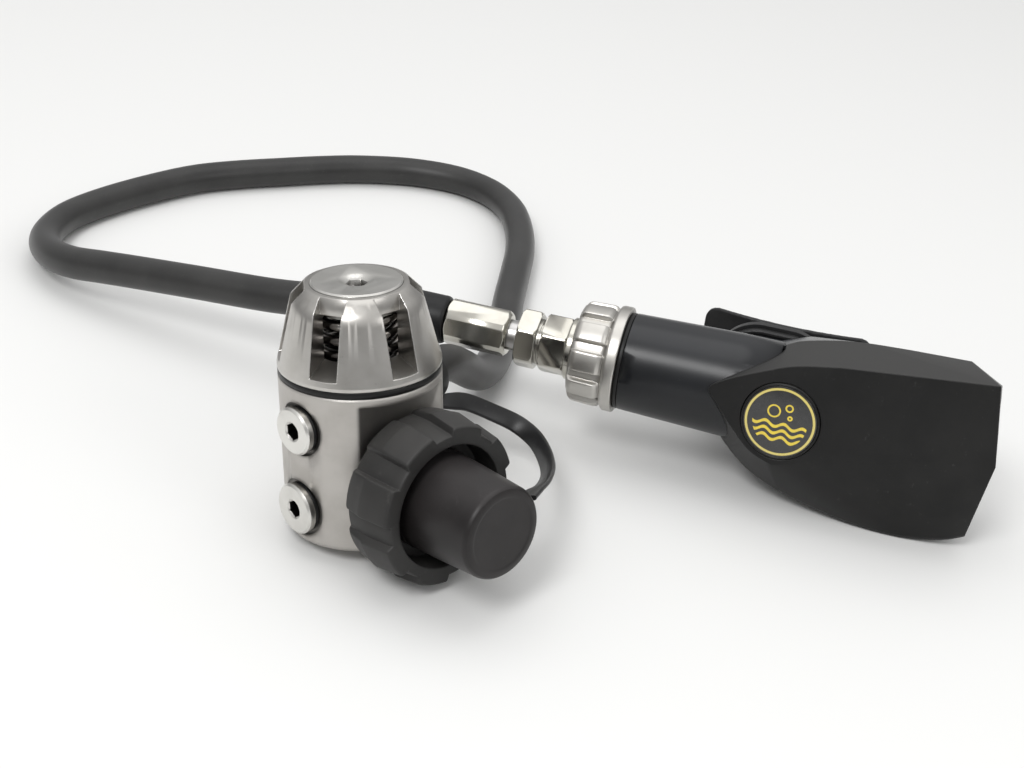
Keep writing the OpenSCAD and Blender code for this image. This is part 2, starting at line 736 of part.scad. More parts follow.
module second_diaphragm() {
    color("black") second_stage() badge_axis() translate([0, 0, drum_face]) cylinder(r = drum_r, h = 1);
}

module diaphragm_clamp() {
    color("dimgray") second_stage() badge_axis() ring(12.2, drum_r, drum_face + 1, drum_face + 2.4);
}

module diaphragm_plate() {
    color("silver") second_stage() badge_axis() bevelled(9, drum_face + 1, drum_face + 1.7, 0.2);
}

module cover() {
    color([0.22, 0.22, 0.24]) second_stage() difference() {
        hull() {
            left_plate(0, 0);
            right_plate(0, 0);
            rim_plate(0, 0);
        }
        hull() {
            left_plate(wall, wall);
            right_plate(wall, wall);
            rim_plate(1, wall);
        }
        tube_solid(0.05);
        badge_axis() translate([0, 0, drum_face - 5]) cylinder(r = button_d / 2 + gap, h = 40);
        badge_axis() translate([0, 0, -5]) cylinder(r = skirt_r + gap, h = skirt_top + gap + 5.1);
        exhaust_cut();
    }
}

module purge_button() {
    color([0.2, 0.2, 0.22]) second_stage() badge_axis() difference() {
        rotate_extrude() polygon([[0, 0.6], [button_d / 2 - 0.5, 0.6], [button_d / 2, 0.1],
            [button_d / 2, skirt_top], [skirt_r, skirt_top], [skirt_r, skirt_top - 1],
            [badge_d / 2 - 0.8, skirt_top - 1], [badge_d / 2 - 0.8, -1.8], [4, -1.8],
            [4, drum_face + 2], [0, drum_face + 2]]);
        translate([0, 0, 0.1]) cylinder(d = badge_d, h = 1);
    }
}

module purge_badge() {
    color("gold") second_stage() badge_axis() translate([0, 0, 0.1]) cylinder(d = badge_d, h = 0.5);
}

module purge_spring() {
    color("gray") second_stage() badge_axis()
        coil(button_d / 2 - 0.35, 0.35, drum_face + 2.4, skirt_top - 1, 2.5, 20);
}

module exhaust_valve() {
    color("black") second_stage() translate([partition_x, exhaust_at[0], exhaust_at[1]])
        rotate([0, 90, 0]) rotate_extrude() polygon([[0, -3.6], [2, -3.2], [1.2, -1.6], [1.2, 2],
            [exhaust_r + 1.5, 2], [exhaust_r + 1.5, 2.8], [0, 3.4]]);
}

// The flange seen from behind: round below, with small corners above
module flange_outline() {
    r = flange_corner;
    oval(flange_w, flange_h);
    translate([-flange_w / 2, 0]) square([flange_w, flange_h / 2 - r]);
    translate([-flange_w / 2 + r, 0]) square([flange_w - 2 * r, flange_h / 2]);
    for (s = [-1, 1]) translate([s * (flange_w / 2 - r), flange_h / 2 - r]) circle(r = r);
}

module mouthpiece() {
    color("black") second_stage() difference() {
        union() {
            translate([mouth_x, 31, 0]) rotate([90, 0, 0]) linear_extrude(9) oval(mouth_w + 4, mouth_h + 4);
            hull() {
                translate([mouth_x, 32, 0]) rotate([90, 0, 0]) linear_extrude(1)
                    oval(mouth_w + 3, mouth_h + 3);
                translate([flange_x, flange_y + 2, flange_z]) rotate([90, 0, 0]) linear_extrude(1)
                    oval(neck_w, neck_h);
            }
            intersection() {
                translate([flange_x, flange_y + flange_bend, -60]) difference() {
                    cylinder(r = flange_bend, h = 120);
                    translate([0, 0, -1]) cylinder(r = flange_bend - flange_t, h = 122);
                }
                translate([flange_x, flange_y + 16, flange_z]) rotate([90, 0, 0]) linear_extrude(30)
                    flange_outline();
            }
            for (s = [-1, 1]) translate([flange_x + s * 17 - 4, flange_y + 1, flange_z - 7])
                cube([8, 17, 14]);
        }
        translate([mouth_x, 31.2, 0]) rotate([90, 0, 0]) linear_extrude(20) oval(mouth_w, mouth_h);
        hull() {
            translate([mouth_x, 31.4, 0]) rotate([90, 0, 0]) linear_extrude(1)
                oval(mouth_w - 4, mouth_h - 4);
            translate([flange_x, flange_y + 6, flange_z]) rotate([90, 0, 0]) linear_extrude(1)
                oval(neck_w - 8, neck_h - 7);
        }
    }
}

module mouthpiece_clamp() {
    color("dimgray") second_stage() {
        translate([mouth_x, 28.6, 0]) rotate([90, 0, 0]) linear_extrude(3.6) difference() {
            oval(mouth_w + 6.4, mouth_h + 6.4);
            oval(mouth_w + 4, mouth_h + 4);
        }
        translate([mouth_x - 3, 25, -mouth_h / 2 - 5.5]) cube([6, 3.6, 3]);
    }
}

barrel();
spring_cage();
seal_ring();
adjusting_plug();
main_spring();
spring_pad();
first_diaphragm();
clamp_washer();
valve_lifter();
seat_crown();
pressure_poppet();
poppet_spring();
base_plug();
base_o_ring();
low_port_plugs();
low_port_o_rings();
high_port_plugs();
high_port_o_rings();
connector_stem();
inlet_filter();
filter_clip();
connector_o_ring();
threaded_sleeve();
hand_wheel();
dust_cap();
cap_strap();
hose_fitting();
hose_fitting_o_ring();
lp_hose();
hose_sleeve();
hose_ferrule();
hose_stem();
stem_o_ring();
swivel_nut();
inlet_fitting();
retaining_nut();
gap_ring();
housing();
orifice();
valve_barrel();
valve_poppet();
valve_spring();
lever();
second_diaphragm();
diaphragm_clamp();
diaphragm_plate();
cover();
purge_button();
purge_badge();
purge_spring();
exhaust_valve();
mouthpiece();
mouthpiece_clamp();
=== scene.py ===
import math

import bmesh
import bpy
from mathutils import Matrix, Vector


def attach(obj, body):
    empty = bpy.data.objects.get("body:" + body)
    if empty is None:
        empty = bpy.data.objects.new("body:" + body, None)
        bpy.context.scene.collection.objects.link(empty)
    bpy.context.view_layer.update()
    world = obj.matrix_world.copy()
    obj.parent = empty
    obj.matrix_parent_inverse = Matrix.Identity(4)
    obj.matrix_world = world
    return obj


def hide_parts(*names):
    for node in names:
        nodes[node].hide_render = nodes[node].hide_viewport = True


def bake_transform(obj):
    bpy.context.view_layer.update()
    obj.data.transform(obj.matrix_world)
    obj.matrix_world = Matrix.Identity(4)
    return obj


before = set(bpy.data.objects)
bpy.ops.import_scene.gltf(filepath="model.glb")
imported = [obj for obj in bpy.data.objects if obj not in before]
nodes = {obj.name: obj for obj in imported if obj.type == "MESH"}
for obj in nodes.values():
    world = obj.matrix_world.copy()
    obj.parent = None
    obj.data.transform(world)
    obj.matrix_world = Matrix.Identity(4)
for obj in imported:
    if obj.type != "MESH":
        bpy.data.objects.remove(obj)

scene = bpy.context.scene
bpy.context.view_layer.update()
mm = 0.001


# Places of the parts, from settings in millimetres and degrees, as frames in metres

def turn(degrees, axis):
    return Matrix.Rotation(math.radians(degrees), 4, axis)


def move(x, y, z):
    return Matrix.Translation((x * mm, y * mm, z * mm))


places = {
    "wheelRadius": 27.5,
    "connectorHeight": 19.2,
    "wheelToBaseEdge": 57,
    "turnDegrees": -44,
    "secondAt": (83, 65, 32.5),
    "headingDegrees": -13,
    "rollDegrees": -10,
    "badgeAt": (57, -20.87, -2),
    "badgeTurnDegrees": -4.34,
}

leanDegrees = math.degrees(math.atan2(places["wheelRadius"] - places["connectorHeight"],
        places["wheelToBaseEdge"]))
firstAt = turn(places["turnDegrees"], "Z") @ turn(-leanDegrees, "Y")
connectorAt = firstAt @ move(0, 0, places["connectorHeight"]) @ turn(90, "Y")
secondAt = move(*places["secondAt"]) @ turn(places["headingDegrees"], "Z") @ turn(places["rollDegrees"],
    "X")
tubeAt = secondAt @ turn(90, "Y")
badgeAt = secondAt @ move(*places["badgeAt"]) @ turn(places["badgeTurnDegrees"], "Z") @ turn(90, "X")


def portAt(angle, height):
    return firstAt @ turn(angle, "Z") @ move(0, 0, height) @ turn(90, "Y")


# Camera

viewPoint = {
    "position": (42.92, -440.70, 307.34),
    "right": (0.99357, 0.05626, 0.09827),
    "up": (-0.11324, 0.49361, 0.86228),
    "pixelFocal": 1624,
    "imageWidth": 1024,
    "sensorWidth": 36,
}


def placeCamera():
    right, up = Vector(viewPoint["right"]).normalized(), Vector(viewPoint["up"]).normalized()
    back = right.cross(up).normalized()
    up = back.cross(right)
    data = bpy.data.cameras.new("camera")
    data.sensor_width = viewPoint["sensorWidth"]
    data.lens = viewPoint["pixelFocal"] * viewPoint["sensorWidth"] / viewPoint["imageWidth"]
    data.clip_start, data.clip_end = 0.01, 20
    camera = bpy.data.objects.new("camera", data)
    scene.collection.objects.link(camera)
    camera.matrix_world = (Matrix.Translation(Vector(viewPoint["position"]) * mm)
        @ Matrix((right, up, back)).transposed().to_4x4())
    scene.camera = camera


placeCamera()
print("camera placed")


# Material helpers

def addNode(material, kind, settings=None, **inputs):
    node = material.node_tree.nodes.new(kind)
    for key, value in (settings or {}).items():
        setattr(node, key, value)
    for key, value in inputs.items():
        socket = node.inputs[key if not key[-1].isdigit() else int(key[1:])]
        if isinstance(value, bpy.types.NodeSocket):
            material.node_tree.links.new(value, socket)
        else:
            socket.default_value = value
    return node


def mathNode(material, operation, first, second=0.0, clamp=False):
    return addNode(material, "ShaderNodeMath", {"operation": operation, "use_clamp": clamp}, i0=first,
        i1=second).outputs[0]


def times(material, first, second):
    return mathNode(material, "MULTIPLY", first, second)


def vectorNode(material, operation, output, *inputs):
    sockets = {"i%d" % index: value for index, value in enumerate(inputs)}
    return addNode(material, "ShaderNodeVectorMath", {"operation": operation}, **sockets).outputs[output]


def rampNode(material, value, low, high, fromTone=0.0, toTone=1.0):
    node = addNode(material, "ShaderNodeMapRange", {"interpolation_type": "SMOOTHSTEP"}, i0=value, i1=low,
        i2=high, i3=fromTone, i4=toTone)
    return node.outputs[0]


def mixColors(material, factor, first, second):
    node = addNode(material, "ShaderNodeMix", {"data_type": "RGBA"}, i0=factor)
    for index, value in ((6, first), (7, second)):
        if isinstance(value, bpy.types.NodeSocket):
            material.node_tree.links.new(value, node.inputs[index])
        else:
            node.inputs[index].default_value = value if len(value) == 4 else (*value, 1)
    return node.outputs[2]


def localPoint(material, place=None):
    point = addNode(material, "ShaderNodeTexCoord").outputs["Object"]
    if place is None:
        return point
    node = addNode(material, "ShaderNodeMapping", {"vector_type": "TEXTURE"}, Vector=point)
    node.inputs["Location"].default_value = place.translation
    node.inputs["Rotation"].default_value = place.to_euler()
    return node.outputs[0]


def noiseAt(material, point, scale, detail=3.0, roughness=0.55, distortion=0.0):
    return addNode(material, "ShaderNodeTexNoise", None, Vector=point, Scale=scale, Detail=detail,
        Roughness=roughness, Distortion=distortion).outputs["Fac"]


def stretched(material, point, factors):
    return vectorNode(material, "MULTIPLY", 0, point, factors)


def bumpNode(material, height, strength, distance, normal=None):
    node = addNode(material, "ShaderNodeBump", None, Height=height, Strength=strength, Distance=distance)
    if normal is not None:
        material.node_tree.links.new(normal, node.inputs["Normal"])
    return node.outputs[0]


def edgeMask(material, radius):
    # Rounded normal at the edges, and how far it turns from the flat one
    rounded = addNode(material, "ShaderNodeBevel", {"samples": 6}, Radius=radius).outputs[0]
    flat = addNode(material, "ShaderNodeNewGeometry").outputs["Normal"]
    along = vectorNode(material, "DOT_PRODUCT", "Value", rounded, flat)
    return rounded, mathNode(material, "SUBTRACT", 1.0, along)


def paintedShadeMask(material, reach, span=(0.25, 0.75)):
    # High where the surface lies in a narrow hollow, which marks where shade is painted into the colour
    openness = addNode(material, "ShaderNodeAmbientOcclusion", {"samples": 6}, Distance=reach).outputs["AO"]
    return rampNode(material, openness, *span, 1.0, 0.0)


def topLightMask(material, low=0.55, high=0.95):
    # High where the piece's own surface looks up when it lies at rest; it marks where light from above is
    # painted in
    normal = addNode(material, "ShaderNodeTexCoord").outputs["Normal"]
    return rampNode(material, addNode(material, "ShaderNodeSeparateXYZ", None, Vector=normal).outputs[2],
        low, high)


def startMaterial(name, metallic=0.0, **sockets):
    material = bpy.data.materials.new(name)
    material.use_nodes = True
    shader = material.node_tree.nodes["Principled BSDF"]
    shader.inputs["Metallic"].default_value = metallic
    for key, value in sockets.items():
        shader.inputs[key.replace("_", " ")].default_value = value
    return material, shader


def connect(material, output, socket):
    material.node_tree.links.new(output, socket)


def machinedMetal(name, look, place=None):
    material, shader = startMaterial(name, 1.0)
    point = localPoint(material, place)
    cloud = noiseAt(material, point, look.get("cloudScale", 70), 4)
    fine = noiseAt(material, point, look.get("grainScale", 2600), 2)
    rounded, edge = edgeMask(material, look.get("edgeRadius", 0.35 * mm))
    worn = rampNode(material, edge, 0.02, 0.30)
    color = mixColors(material, rampNode(material, cloud, 0.35, 0.70), look["color"], look["darkColor"])
    color = mixColors(material, times(material, worn, look.get("edgeShare", 0.5)), color, look["edgeColor"])
    # Painted shade: hollows are darkened towards near-black, standing in for the shade that falls in them
    hollow = paintedShadeMask(material, look.get("shadeReach", 2.5 * mm), look.get("shadeSpan", (0.25, 0.75)))
    color = mixColors(material, times(material, hollow, look.get("shadeShare", 0.85)), color,
        (0.05, 0.047, 0.043))
    connect(material, color, shader.inputs["Base Color"])
    split = addNode(material, "ShaderNodeSeparateXYZ", None, Vector=point)
    flatPart = addNode(material, "ShaderNodeCombineXYZ", None, X=split.outputs[0],
        Y=split.outputs[1]).outputs[0]
    radial = vectorNode(material, "LENGTH", "Value", flatPart)
    lathe = addNode(material, "ShaderNodeCombineXYZ", None, X=radial, Z=split.outputs[2]).outputs[0]
    rings = noiseAt(material, lathe, look.get("ringScale", 5200), 2, 0.6)
    smudge = noiseAt(material, point, look.get("smudgeScale", 240), 5, 0.65)
    level = mathNode(material, "ADD", times(material, smudge, look["roughVary"]),
        times(material, rings, look.get("ringRough", 0.06)))
    level = mathNode(material, "ADD", level, look["roughness"] - look["roughVary"] / 2)
    level = mathNode(material, "SUBTRACT", level, times(material, worn, 0.08), True)
    connect(material, level, shader.inputs["Roughness"])
    normal = bumpNode(material, rings, look.get("ringBump", 0.10), 0.03 * mm, rounded)
    normal = bumpNode(material, fine, look.get("grainBump", 0.12), 0.03 * mm, normal)
    connect(material, normal, shader.inputs["Normal"])
    return material


def mouldedPlastic(name, look):
    material, shader = startMaterial(name, 0.0, Specular_IOR_Level=look.get("specular", 0.5))
    point = localPoint(material)
    cloud = noiseAt(material, point, look.get("cloudScale", 55), 4)
    grain = noiseAt(material, point, look.get("grainScale", 2200), 2, 0.6)
    rounded, edge = edgeMask(material, look.get("edgeRadius", 0.5 * mm))
    scuffs = noiseAt(material, stretched(material, point, (1, 0.25, 0.6)), look.get("scuffScale", 420), 6,
        0.7)
    scuffed = rampNode(material, scuffs, 0.60, 0.78)
    color = mixColors(material, rampNode(material, cloud, 0.3, 0.7), look["color"], look["paleColor"])
    color = mixColors(material, times(material, scuffed, look.get("scuffShare", 0.35)), color,
        look["wearAndTopLightColor"])
    worn = rampNode(material, edge, 0.02, 0.35)
    color = mixColors(material, times(material, worn, look.get("edgeShare", 0.35)), color,
        look["wearAndTopLightColor"])
    # Painted light: faces that look up are lightened towards the pale wear colour, standing in for light
    # from above
    topLight = times(material, topLightMask(material), look.get("dustAndTopLightShare", 0.25))
    color = mixColors(material, topLight, color, look["wearAndTopLightColor"])
    connect(material, color, shader.inputs["Base Color"])
    level = mathNode(material, "ADD", times(material, cloud, look["roughVary"]), look["roughness"]
        - look["roughVary"] / 2)
    level = mathNode(material, "ADD", level, times(material, scuffed, 0.12), True)
    connect(material, level, shader.inputs["Roughness"])
    normal = bumpNode(material, grain, look.get("grainBump", 0.25), look.get("grainDepth", 0.04) * mm,
        rounded)
    connect(material, normal, shader.inputs["Normal"])
    return material


def softRubber(name, look):
    material, shader = startMaterial(name, 0.0, Specular_IOR_Level=look.get("specular", 0.4),
        Sheen_Weight=look.get("sheen", 0.12),
        Sheen_Roughness=0.45)
    point = localPoint(material)
    cloud = noiseAt(material, point, look.get("cloudScale", 45), 5)
    grain = noiseAt(material, point, look.get("grainScale", 3000), 2, 0.6)
    dust = rampNode(material, noiseAt(material, point, look.get("dustScale", 700), 6, 0.75), 0.56, 0.75)
    color = mixColors(material, rampNode(material, cloud, 0.3, 0.7), look["color"], look["paleColor"])
    color = mixColors(material, times(material, dust, look.get("dustAndTopLightShare", 0.25)), color,
        look["dustColor"])
    connect(material, color, shader.inputs["Base Color"])
    level = mathNode(material, "ADD", times(material, cloud, look["roughVary"]), look["roughness"]
        - look["roughVary"] / 2, True)
    connect(material, level, shader.inputs["Roughness"])
    connect(material, bumpNode(material, grain, look.get("grainBump", 0.3), 0.05 * mm),
        shader.inputs["Normal"])
    return material


materials = {}

# The reach, share and span of each metal set how far into its hollows shade is painted, and how dark
metalLooks = {
    "barrelMetal": {"color": (0.50, 0.48, 0.455), "darkColor": (0.43, 0.41, 0.385),
        "edgeColor": (0.66, 0.645, 0.62), "roughness": 0.44, "roughVary": 0.10, "ringBump": 0.04,
        "grainBump": 0.30, "edgeRadius": 1.8 * mm, "shadeReach": 4 * mm, "shadeShare": 0.7},
    "cageMetal": {"color": (0.54, 0.525, 0.50), "darkColor": (0.45, 0.435, 0.41),
        "edgeColor": (0.88, 0.87, 0.85), "roughness": 0.27, "roughVary": 0.10, "ringBump": 0.26,
        "grainBump": 0.12, "edgeRadius": 0.4 * mm, "edgeShare": 0.9, "shadeReach": 3 * mm,
        "shadeShare": 0.25},
    "plugMetal": {"color": (0.72, 0.71, 0.68), "darkColor": (0.62, 0.61, 0.58),
        "edgeColor": (0.92, 0.91, 0.89), "roughness": 0.27, "roughVary": 0.08, "ringBump": 0.16,
        "grainBump": 0.08, "shadeReach": 9 * mm, "shadeShare": 0.97, "shadeSpan": (0.4, 0.9)},
    "hoseMetal": {"color": (0.60, 0.585, 0.53), "darkColor": (0.50, 0.48, 0.43),
        "edgeColor": (0.90, 0.88, 0.83), "roughness": 0.17, "roughVary": 0.08, "ringBump": 0.05,
        "grainBump": 0.04, "edgeRadius": 0.35 * mm},
    "nutMetal": {"color": (0.56, 0.545, 0.515), "darkColor": (0.48, 0.465, 0.435),
        "edgeColor": (0.84, 0.82, 0.79), "roughness": 0.33, "roughVary": 0.10, "ringBump": 0.14,
        "grainBump": 0.16, "edgeShare": 0.7},
    "steel": {"color": (0.56, 0.55, 0.54), "darkColor": (0.48, 0.47, 0.46), "edgeColor": (0.8, 0.8, 0.8),
        "roughness": 0.28, "roughVary": 0.08},
    "springSteel": {"color": (0.30, 0.285, 0.27), "darkColor": (0.16, 0.15, 0.145),
        "edgeColor": (0.5, 0.5, 0.5), "roughness": 0.16, "roughVary": 0.10, "ringBump": 0.03,
        "grainBump": 0.06, "shadeShare": 0.3},
    "brass": {"color": (0.72, 0.55, 0.27), "darkColor": (0.62, 0.46, 0.22), "edgeColor": (0.85, 0.7, 0.4),
        "roughness": 0.30, "roughVary": 0.10},
    "bronze": {"color": (0.55, 0.40, 0.24), "darkColor": (0.42, 0.30, 0.18),
        "edgeColor": (0.7, 0.55, 0.35), "roughness": 0.55, "roughVary": 0.10, "grainScale": 3600,
        "grainBump": 0.9},
}

plasticLooks = {
    "wheelPlastic": {"color": (0.017, 0.0165, 0.016), "paleColor": (0.026, 0.025, 0.024),
        "wearAndTopLightColor": (0.085, 0.083, 0.08), "roughness": 0.50, "roughVary": 0.10, "edgeRadius": 0.6 * mm,
        "grainBump": 0.40, "specular": 0.32},
    "capPlastic": {"color": (0.012, 0.0105, 0.0105), "paleColor": (0.020, 0.0175, 0.0175),
        "wearAndTopLightColor": (0.065, 0.06, 0.06), "roughness": 0.40, "roughVary": 0.12, "edgeRadius": 0.5 * mm,
        "grainBump": 0.30, "specular": 0.30},
    "housingPlastic": {"color": (0.006, 0.0065, 0.0075), "paleColor": (0.010, 0.011, 0.013),
        "wearAndTopLightColor": (0.05, 0.052, 0.058), "roughness": 0.30, "roughVary": 0.08, "edgeRadius": 0.5 * mm,
        "grainBump": 0.22, "specular": 0.36},
    "coverPlastic": {"color": (0.006, 0.006, 0.006), "paleColor": (0.0105, 0.0103, 0.010),
        "wearAndTopLightColor": (0.075, 0.074, 0.072), "roughness": 0.36, "roughVary": 0.10, "edgeRadius": 1.0 * mm,
        "grainBump": 0.34, "specular": 0.24, "edgeShare": 0.6, "dustAndTopLightShare": 0.45},
    "clampPlastic": {"color": (0.012, 0.012, 0.0125), "paleColor": (0.018, 0.018, 0.019),
        "wearAndTopLightColor": (0.06, 0.06, 0.06), "roughness": 0.45, "roughVary": 0.08, "edgeRadius": 0.3 * mm,
        "specular": 0.3},
    "valvePlastic": {"color": (0.62, 0.61, 0.57), "paleColor": (0.68, 0.67, 0.63),
        "wearAndTopLightColor": (0.75, 0.74, 0.71), "roughness": 0.4, "roughVary": 0.08, "edgeRadius": 0.2 * mm},
}

rubberLooks = {
    "hoseRubber": {"color": (0.017, 0.0167, 0.0162), "paleColor": (0.028, 0.0275, 0.0265),
        "dustColor": (0.09, 0.088, 0.084), "roughness": 0.42, "roughVary": 0.14, "grainBump": 0.45,
        "sheen": 0.12, "specular": 0.42},
    "sleeveRubber": {"color": (0.006, 0.006, 0.0065), "paleColor": (0.011, 0.011, 0.0115),
        "dustColor": (0.05, 0.05, 0.05), "roughness": 0.42, "roughVary": 0.10, "sheen": 0.04,
        "specular": 0.28},
    "strapRubber": {"color": (0.008, 0.008, 0.0085), "paleColor": (0.014, 0.014, 0.0145),
        "dustColor": (0.06, 0.06, 0.06), "roughness": 0.36, "roughVary": 0.12, "grainBump": 0.2,
        "sheen": 0.04, "specular": 0.36},
    "sealRubber": {"color": (0.006, 0.006, 0.006), "paleColor": (0.010, 0.010, 0.010),
        "dustColor": (0.04, 0.04, 0.04), "roughness": 0.38, "roughVary": 0.10, "grainBump": 0.1,
        "sheen": 0.02, "specular": 0.25},
    "mouthRubber": {"color": (0.010, 0.010, 0.0105), "paleColor": (0.016, 0.016, 0.0165),
        "dustColor": (0.06, 0.06, 0.06), "roughness": 0.38, "roughVary": 0.12, "grainBump": 0.2,
        "sheen": 0.04, "specular": 0.34},
}

for name, look in metalLooks.items():
    place = firstAt if name in ("barrelMetal", "cageMetal", "plugMetal") else tubeAt
    materials[name] = machinedMetal(name, look, place)
for name, look in plasticLooks.items():
    materials[name] = mouldedPlastic(name, look)
for name, look in rubberLooks.items():
    materials[name] = softRubber(name, look)
print("materials made:", len(materials))


# Piece helpers

def slotOf(material):
    return "".join("_" + letter.lower() if letter.isupper() else letter for letter in material)


def addPiece(name, bm, place, body, material, replaced=(), smoothDegrees=32, slot=None, findOutside=True):
    bmesh.ops.remove_doubles(bm, verts=bm.verts, dist=1e-6)
    if findOutside:
        bmesh.ops.recalc_face_normals(bm, faces=bm.faces)
    bm.transform(place)
    mesh = bpy.data.meshes.new(name)
    bm.to_mesh(mesh)
    bm.free()
    mesh.shade_smooth()
    mesh.set_sharp_from_angle(angle=math.radians(smoothDegrees))
    piece = bpy.data.objects.new(name, mesh)
    scene.collection.objects.link(piece)
    mesh.materials.append(materials[material])
    if body is not None:
        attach(piece, body)
    if replaced:
        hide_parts(*replaced)
    slot or slotOf(material)
    return piece


def spunShape(profile, steps=96, hollow=False, start=0.0):
    # profile is (radius, height) in millimetres; hollow closes it on itself, otherwise it ends on the axis
    bm = bmesh.new()
    ring = [bm.verts.new((r * mm, 0, z * mm)) for r, z in profile]
    edges = [bm.edges.new((a, b)) for a, b in zip(ring, ring[1:])]
    if hollow:
        edges.append(bm.edges.new((ring[-1], ring[0])))
    if start:
        bmesh.ops.rotate(bm, verts=ring, cent=(0, 0, 0),
            matrix=Matrix.Rotation(math.radians(start), 3, "Z"))
    bmesh.ops.spin(bm, geom=ring + edges, cent=(0, 0, 0), axis=(0, 0, 1), dvec=(0, 0, 0),
        angle=math.radians(360),
        steps=steps, use_merge=True, use_normal_flip=False, use_duplicate=False)
    return bm


def addPart(bm, part):
    # Puts the shape of part into bm as well
    mesh = bpy.data.meshes.new("part")
    part.to_mesh(mesh)
    part.free()
    bm.from_mesh(mesh)
    bpy.data.meshes.remove(mesh)


def softenEdges(bm, width, degrees=25, segments=2):
    bmesh.ops.remove_doubles(bm, verts=bm.verts, dist=1e-7)
    bmesh.ops.recalc_face_normals(bm, faces=bm.faces)
    chosen = [e for e in bm.edges if e.is_manifold and e.calc_face_angle(0) > math.radians(degrees)]
    if chosen:
        bmesh.ops.bevel(bm, geom=chosen, offset=width * mm, offset_type="OFFSET", affect="EDGES",
            segments=segments, profile=0.5, material=-1, clamp_overlap=True)
    return bm


def copyOfNode(node, name, material, body, axis=None, smoothDegrees=30):
    # The node's triangles merged; a turned part gets the normals of a true round about its axis
    bm = bmesh.new()
    bm.from_mesh(nodes[node].data)
    bmesh.ops.remove_doubles(bm, verts=bm.verts, dist=1e-6)
    bmesh.ops.dissolve_limit(bm, angle_limit=math.radians(0.2), use_dissolve_boundaries=False,
        verts=bm.verts, edges=bm.edges)
    piece = addPiece(name, bm, Matrix.Identity(4), body, material, (node,), smoothDegrees,
        findOutside=False)
    return evenShading(piece) if axis is None else turnedShading(piece, axis)


def evenShading(piece):
    modifier = piece.modifiers.new("evenShading", "WEIGHTED_NORMAL")
    modifier.keep_sharp = True
    modifier.weight = 80
    return piece


def turnedShading(piece, axis, tolerance=15):
    mesh = piece.data
    back, ahead = axis.inverted(), axis.to_3x3()
    normals = [corner.vector.copy() for corner in mesh.corner_normals]
    for polygon in mesh.polygons:
        flat = back.to_3x3() @ polygon.normal
        spread = math.hypot(flat.x, flat.y)
        if spread < 0.08:
            continue
        fresh = {}
        for corner in polygon.loop_indices:
            point = back @ mesh.vertices[mesh.loops[corner].vertex_index].co
            radius = math.hypot(point.x, point.y)
            cosine = (flat.x * point.x + flat.y * point.y) / (spread * max(radius, 1e-9))
            if abs(cosine) < math.cos(math.radians(tolerance)):
                break
            side = 1 if cosine > 0 else -1
            rise = (back.to_3x3() @ normals[corner]).z
            across = math.sqrt(max(0.0, 1 - rise * rise)) * side / radius
            fresh[corner] = (ahead @ Vector((point.x * across, point.y * across, rise))).normalized()
        else:
            for corner, normal in fresh.items():
                normals[corner] = normal
    mesh.normals_split_custom_set(normals)
    return piece


def catmullRom(points, parts):
    # Points on a smooth curve through all of points, with parts steps to a span
    points = [Vector(p) for p in points]
    curve = []
    for i in range(len(points) - 1):
        a, b, c, d = points[max(i - 1, 0)], points[i], points[i + 1], points[min(i + 2, len(points) - 1)]
        for step in range(parts):
            t = step / parts
            curve.append(0.5 * (2 * b + (c - a) * t + (2 * a - 5 * b + 4 * c - d) * t * t
                    + (3 * b - a - 3 * c + d) * t ** 3))
    return curve + [points[-1]]


def sweptShape(section, line, sides=None):
    # section is a list of (across, up) in millimetres; sides turns it about the line,
    # and without them it stays level
    bm = bmesh.new()
    count = len(line)
    previous = None
    for i, point in enumerate(line):
        ahead = (line[min(i + 1, count - 1)] - line[max(i - 1, 0)]).normalized()
        if sides is None:
            across = ahead.cross(Vector((0, 0, 1))).normalized()
        else:
            across = (sides[i] - sides[i].dot(ahead) * ahead).normalized()
        up = across.cross(ahead)
        places = [(point + (x * across + y * up)) * mm for x, y in section]
        if previous is None:
            ring = [bm.verts.new(p) for p in places]
            edges = [bm.edges.new((ring[k], ring[(k + 1) % len(ring)])) for k in range(len(ring))]
            bm.faces.new(ring)
        else:
            order = {vertex: k for k, vertex in enumerate(previous)}
            made = bmesh.ops.extrude_edge_only(bm, edges=edges)["geom"]
            for vertex in [v for v in made if isinstance(v, bmesh.types.BMVert)]:
                k = next(order[e.other_vert(vertex)] for e in vertex.link_edges
                    if e.other_vert(vertex) in order)
                vertex.co = places[k]
                ring[k] = vertex
            edges = [bm.edges.get((ring[k], ring[(k + 1) % len(ring)])) for k in range(len(ring))]
        previous = list(ring)
    bm.faces.new(ring)
    return bm


def circleSection(radius, count):
    return [(radius * math.cos(2 * math.pi * k / count), radius * math.sin(2 * math.pi * k / count))
        for k in range(count)]


# Hose, with its sleeve and ferrule

hose = {
    "diameter": 13,
    "fittingEnd": 40,
    "fittingAngle": 110,
    "fittingHeight": 35,
    "sleeveX": -85.5,
    "ferruleX": -67.5,
    "ferruleEnd": -44,
    "route": [
        (18.5, 52.5, 30.4), (21.5, 60, 26.4), (24.3, 67, 21.4), (27.5, 75, 15.4), (30.5, 83.5, 10.4),
        (33, 94, 6.6),
        (35, 106, 4.3), (36.5, 122, 3.3), (37.2, 142, 3.1), (37.7, 162, 3.1), (39, 187, 3.1),
        (39.7, 209, 3.1),
        (38, 231, 3.1), (33, 252, 3.1), (22.5, 269, 3.1), (6, 280, 3.1), (-16, 283.5, 3.1), (-40, 280, 3.1),
        (-59, 273.5, 3.1), (-78, 265, 3.1), (-96, 256.5, 3.1), (-113, 246, 3.1), (-130, 229, 3.1),
        (-145, 210, 3.1),
        (-155, 192, 3.2), (-158, 175, 3.6), (-155.5, 160, 5), (-148, 146, 7.5), (-136.5, 135, 10.5),
        (-122, 127, 14),
        (-106, 119.5, 17.2), (-79, 107.5, 22), (-50, 96.5, 26), (-30, 90.8, 29.2), (-14, 87.5, 31.6)],
}


hosePort = portAt(hose["fittingAngle"], hose["fittingHeight"])


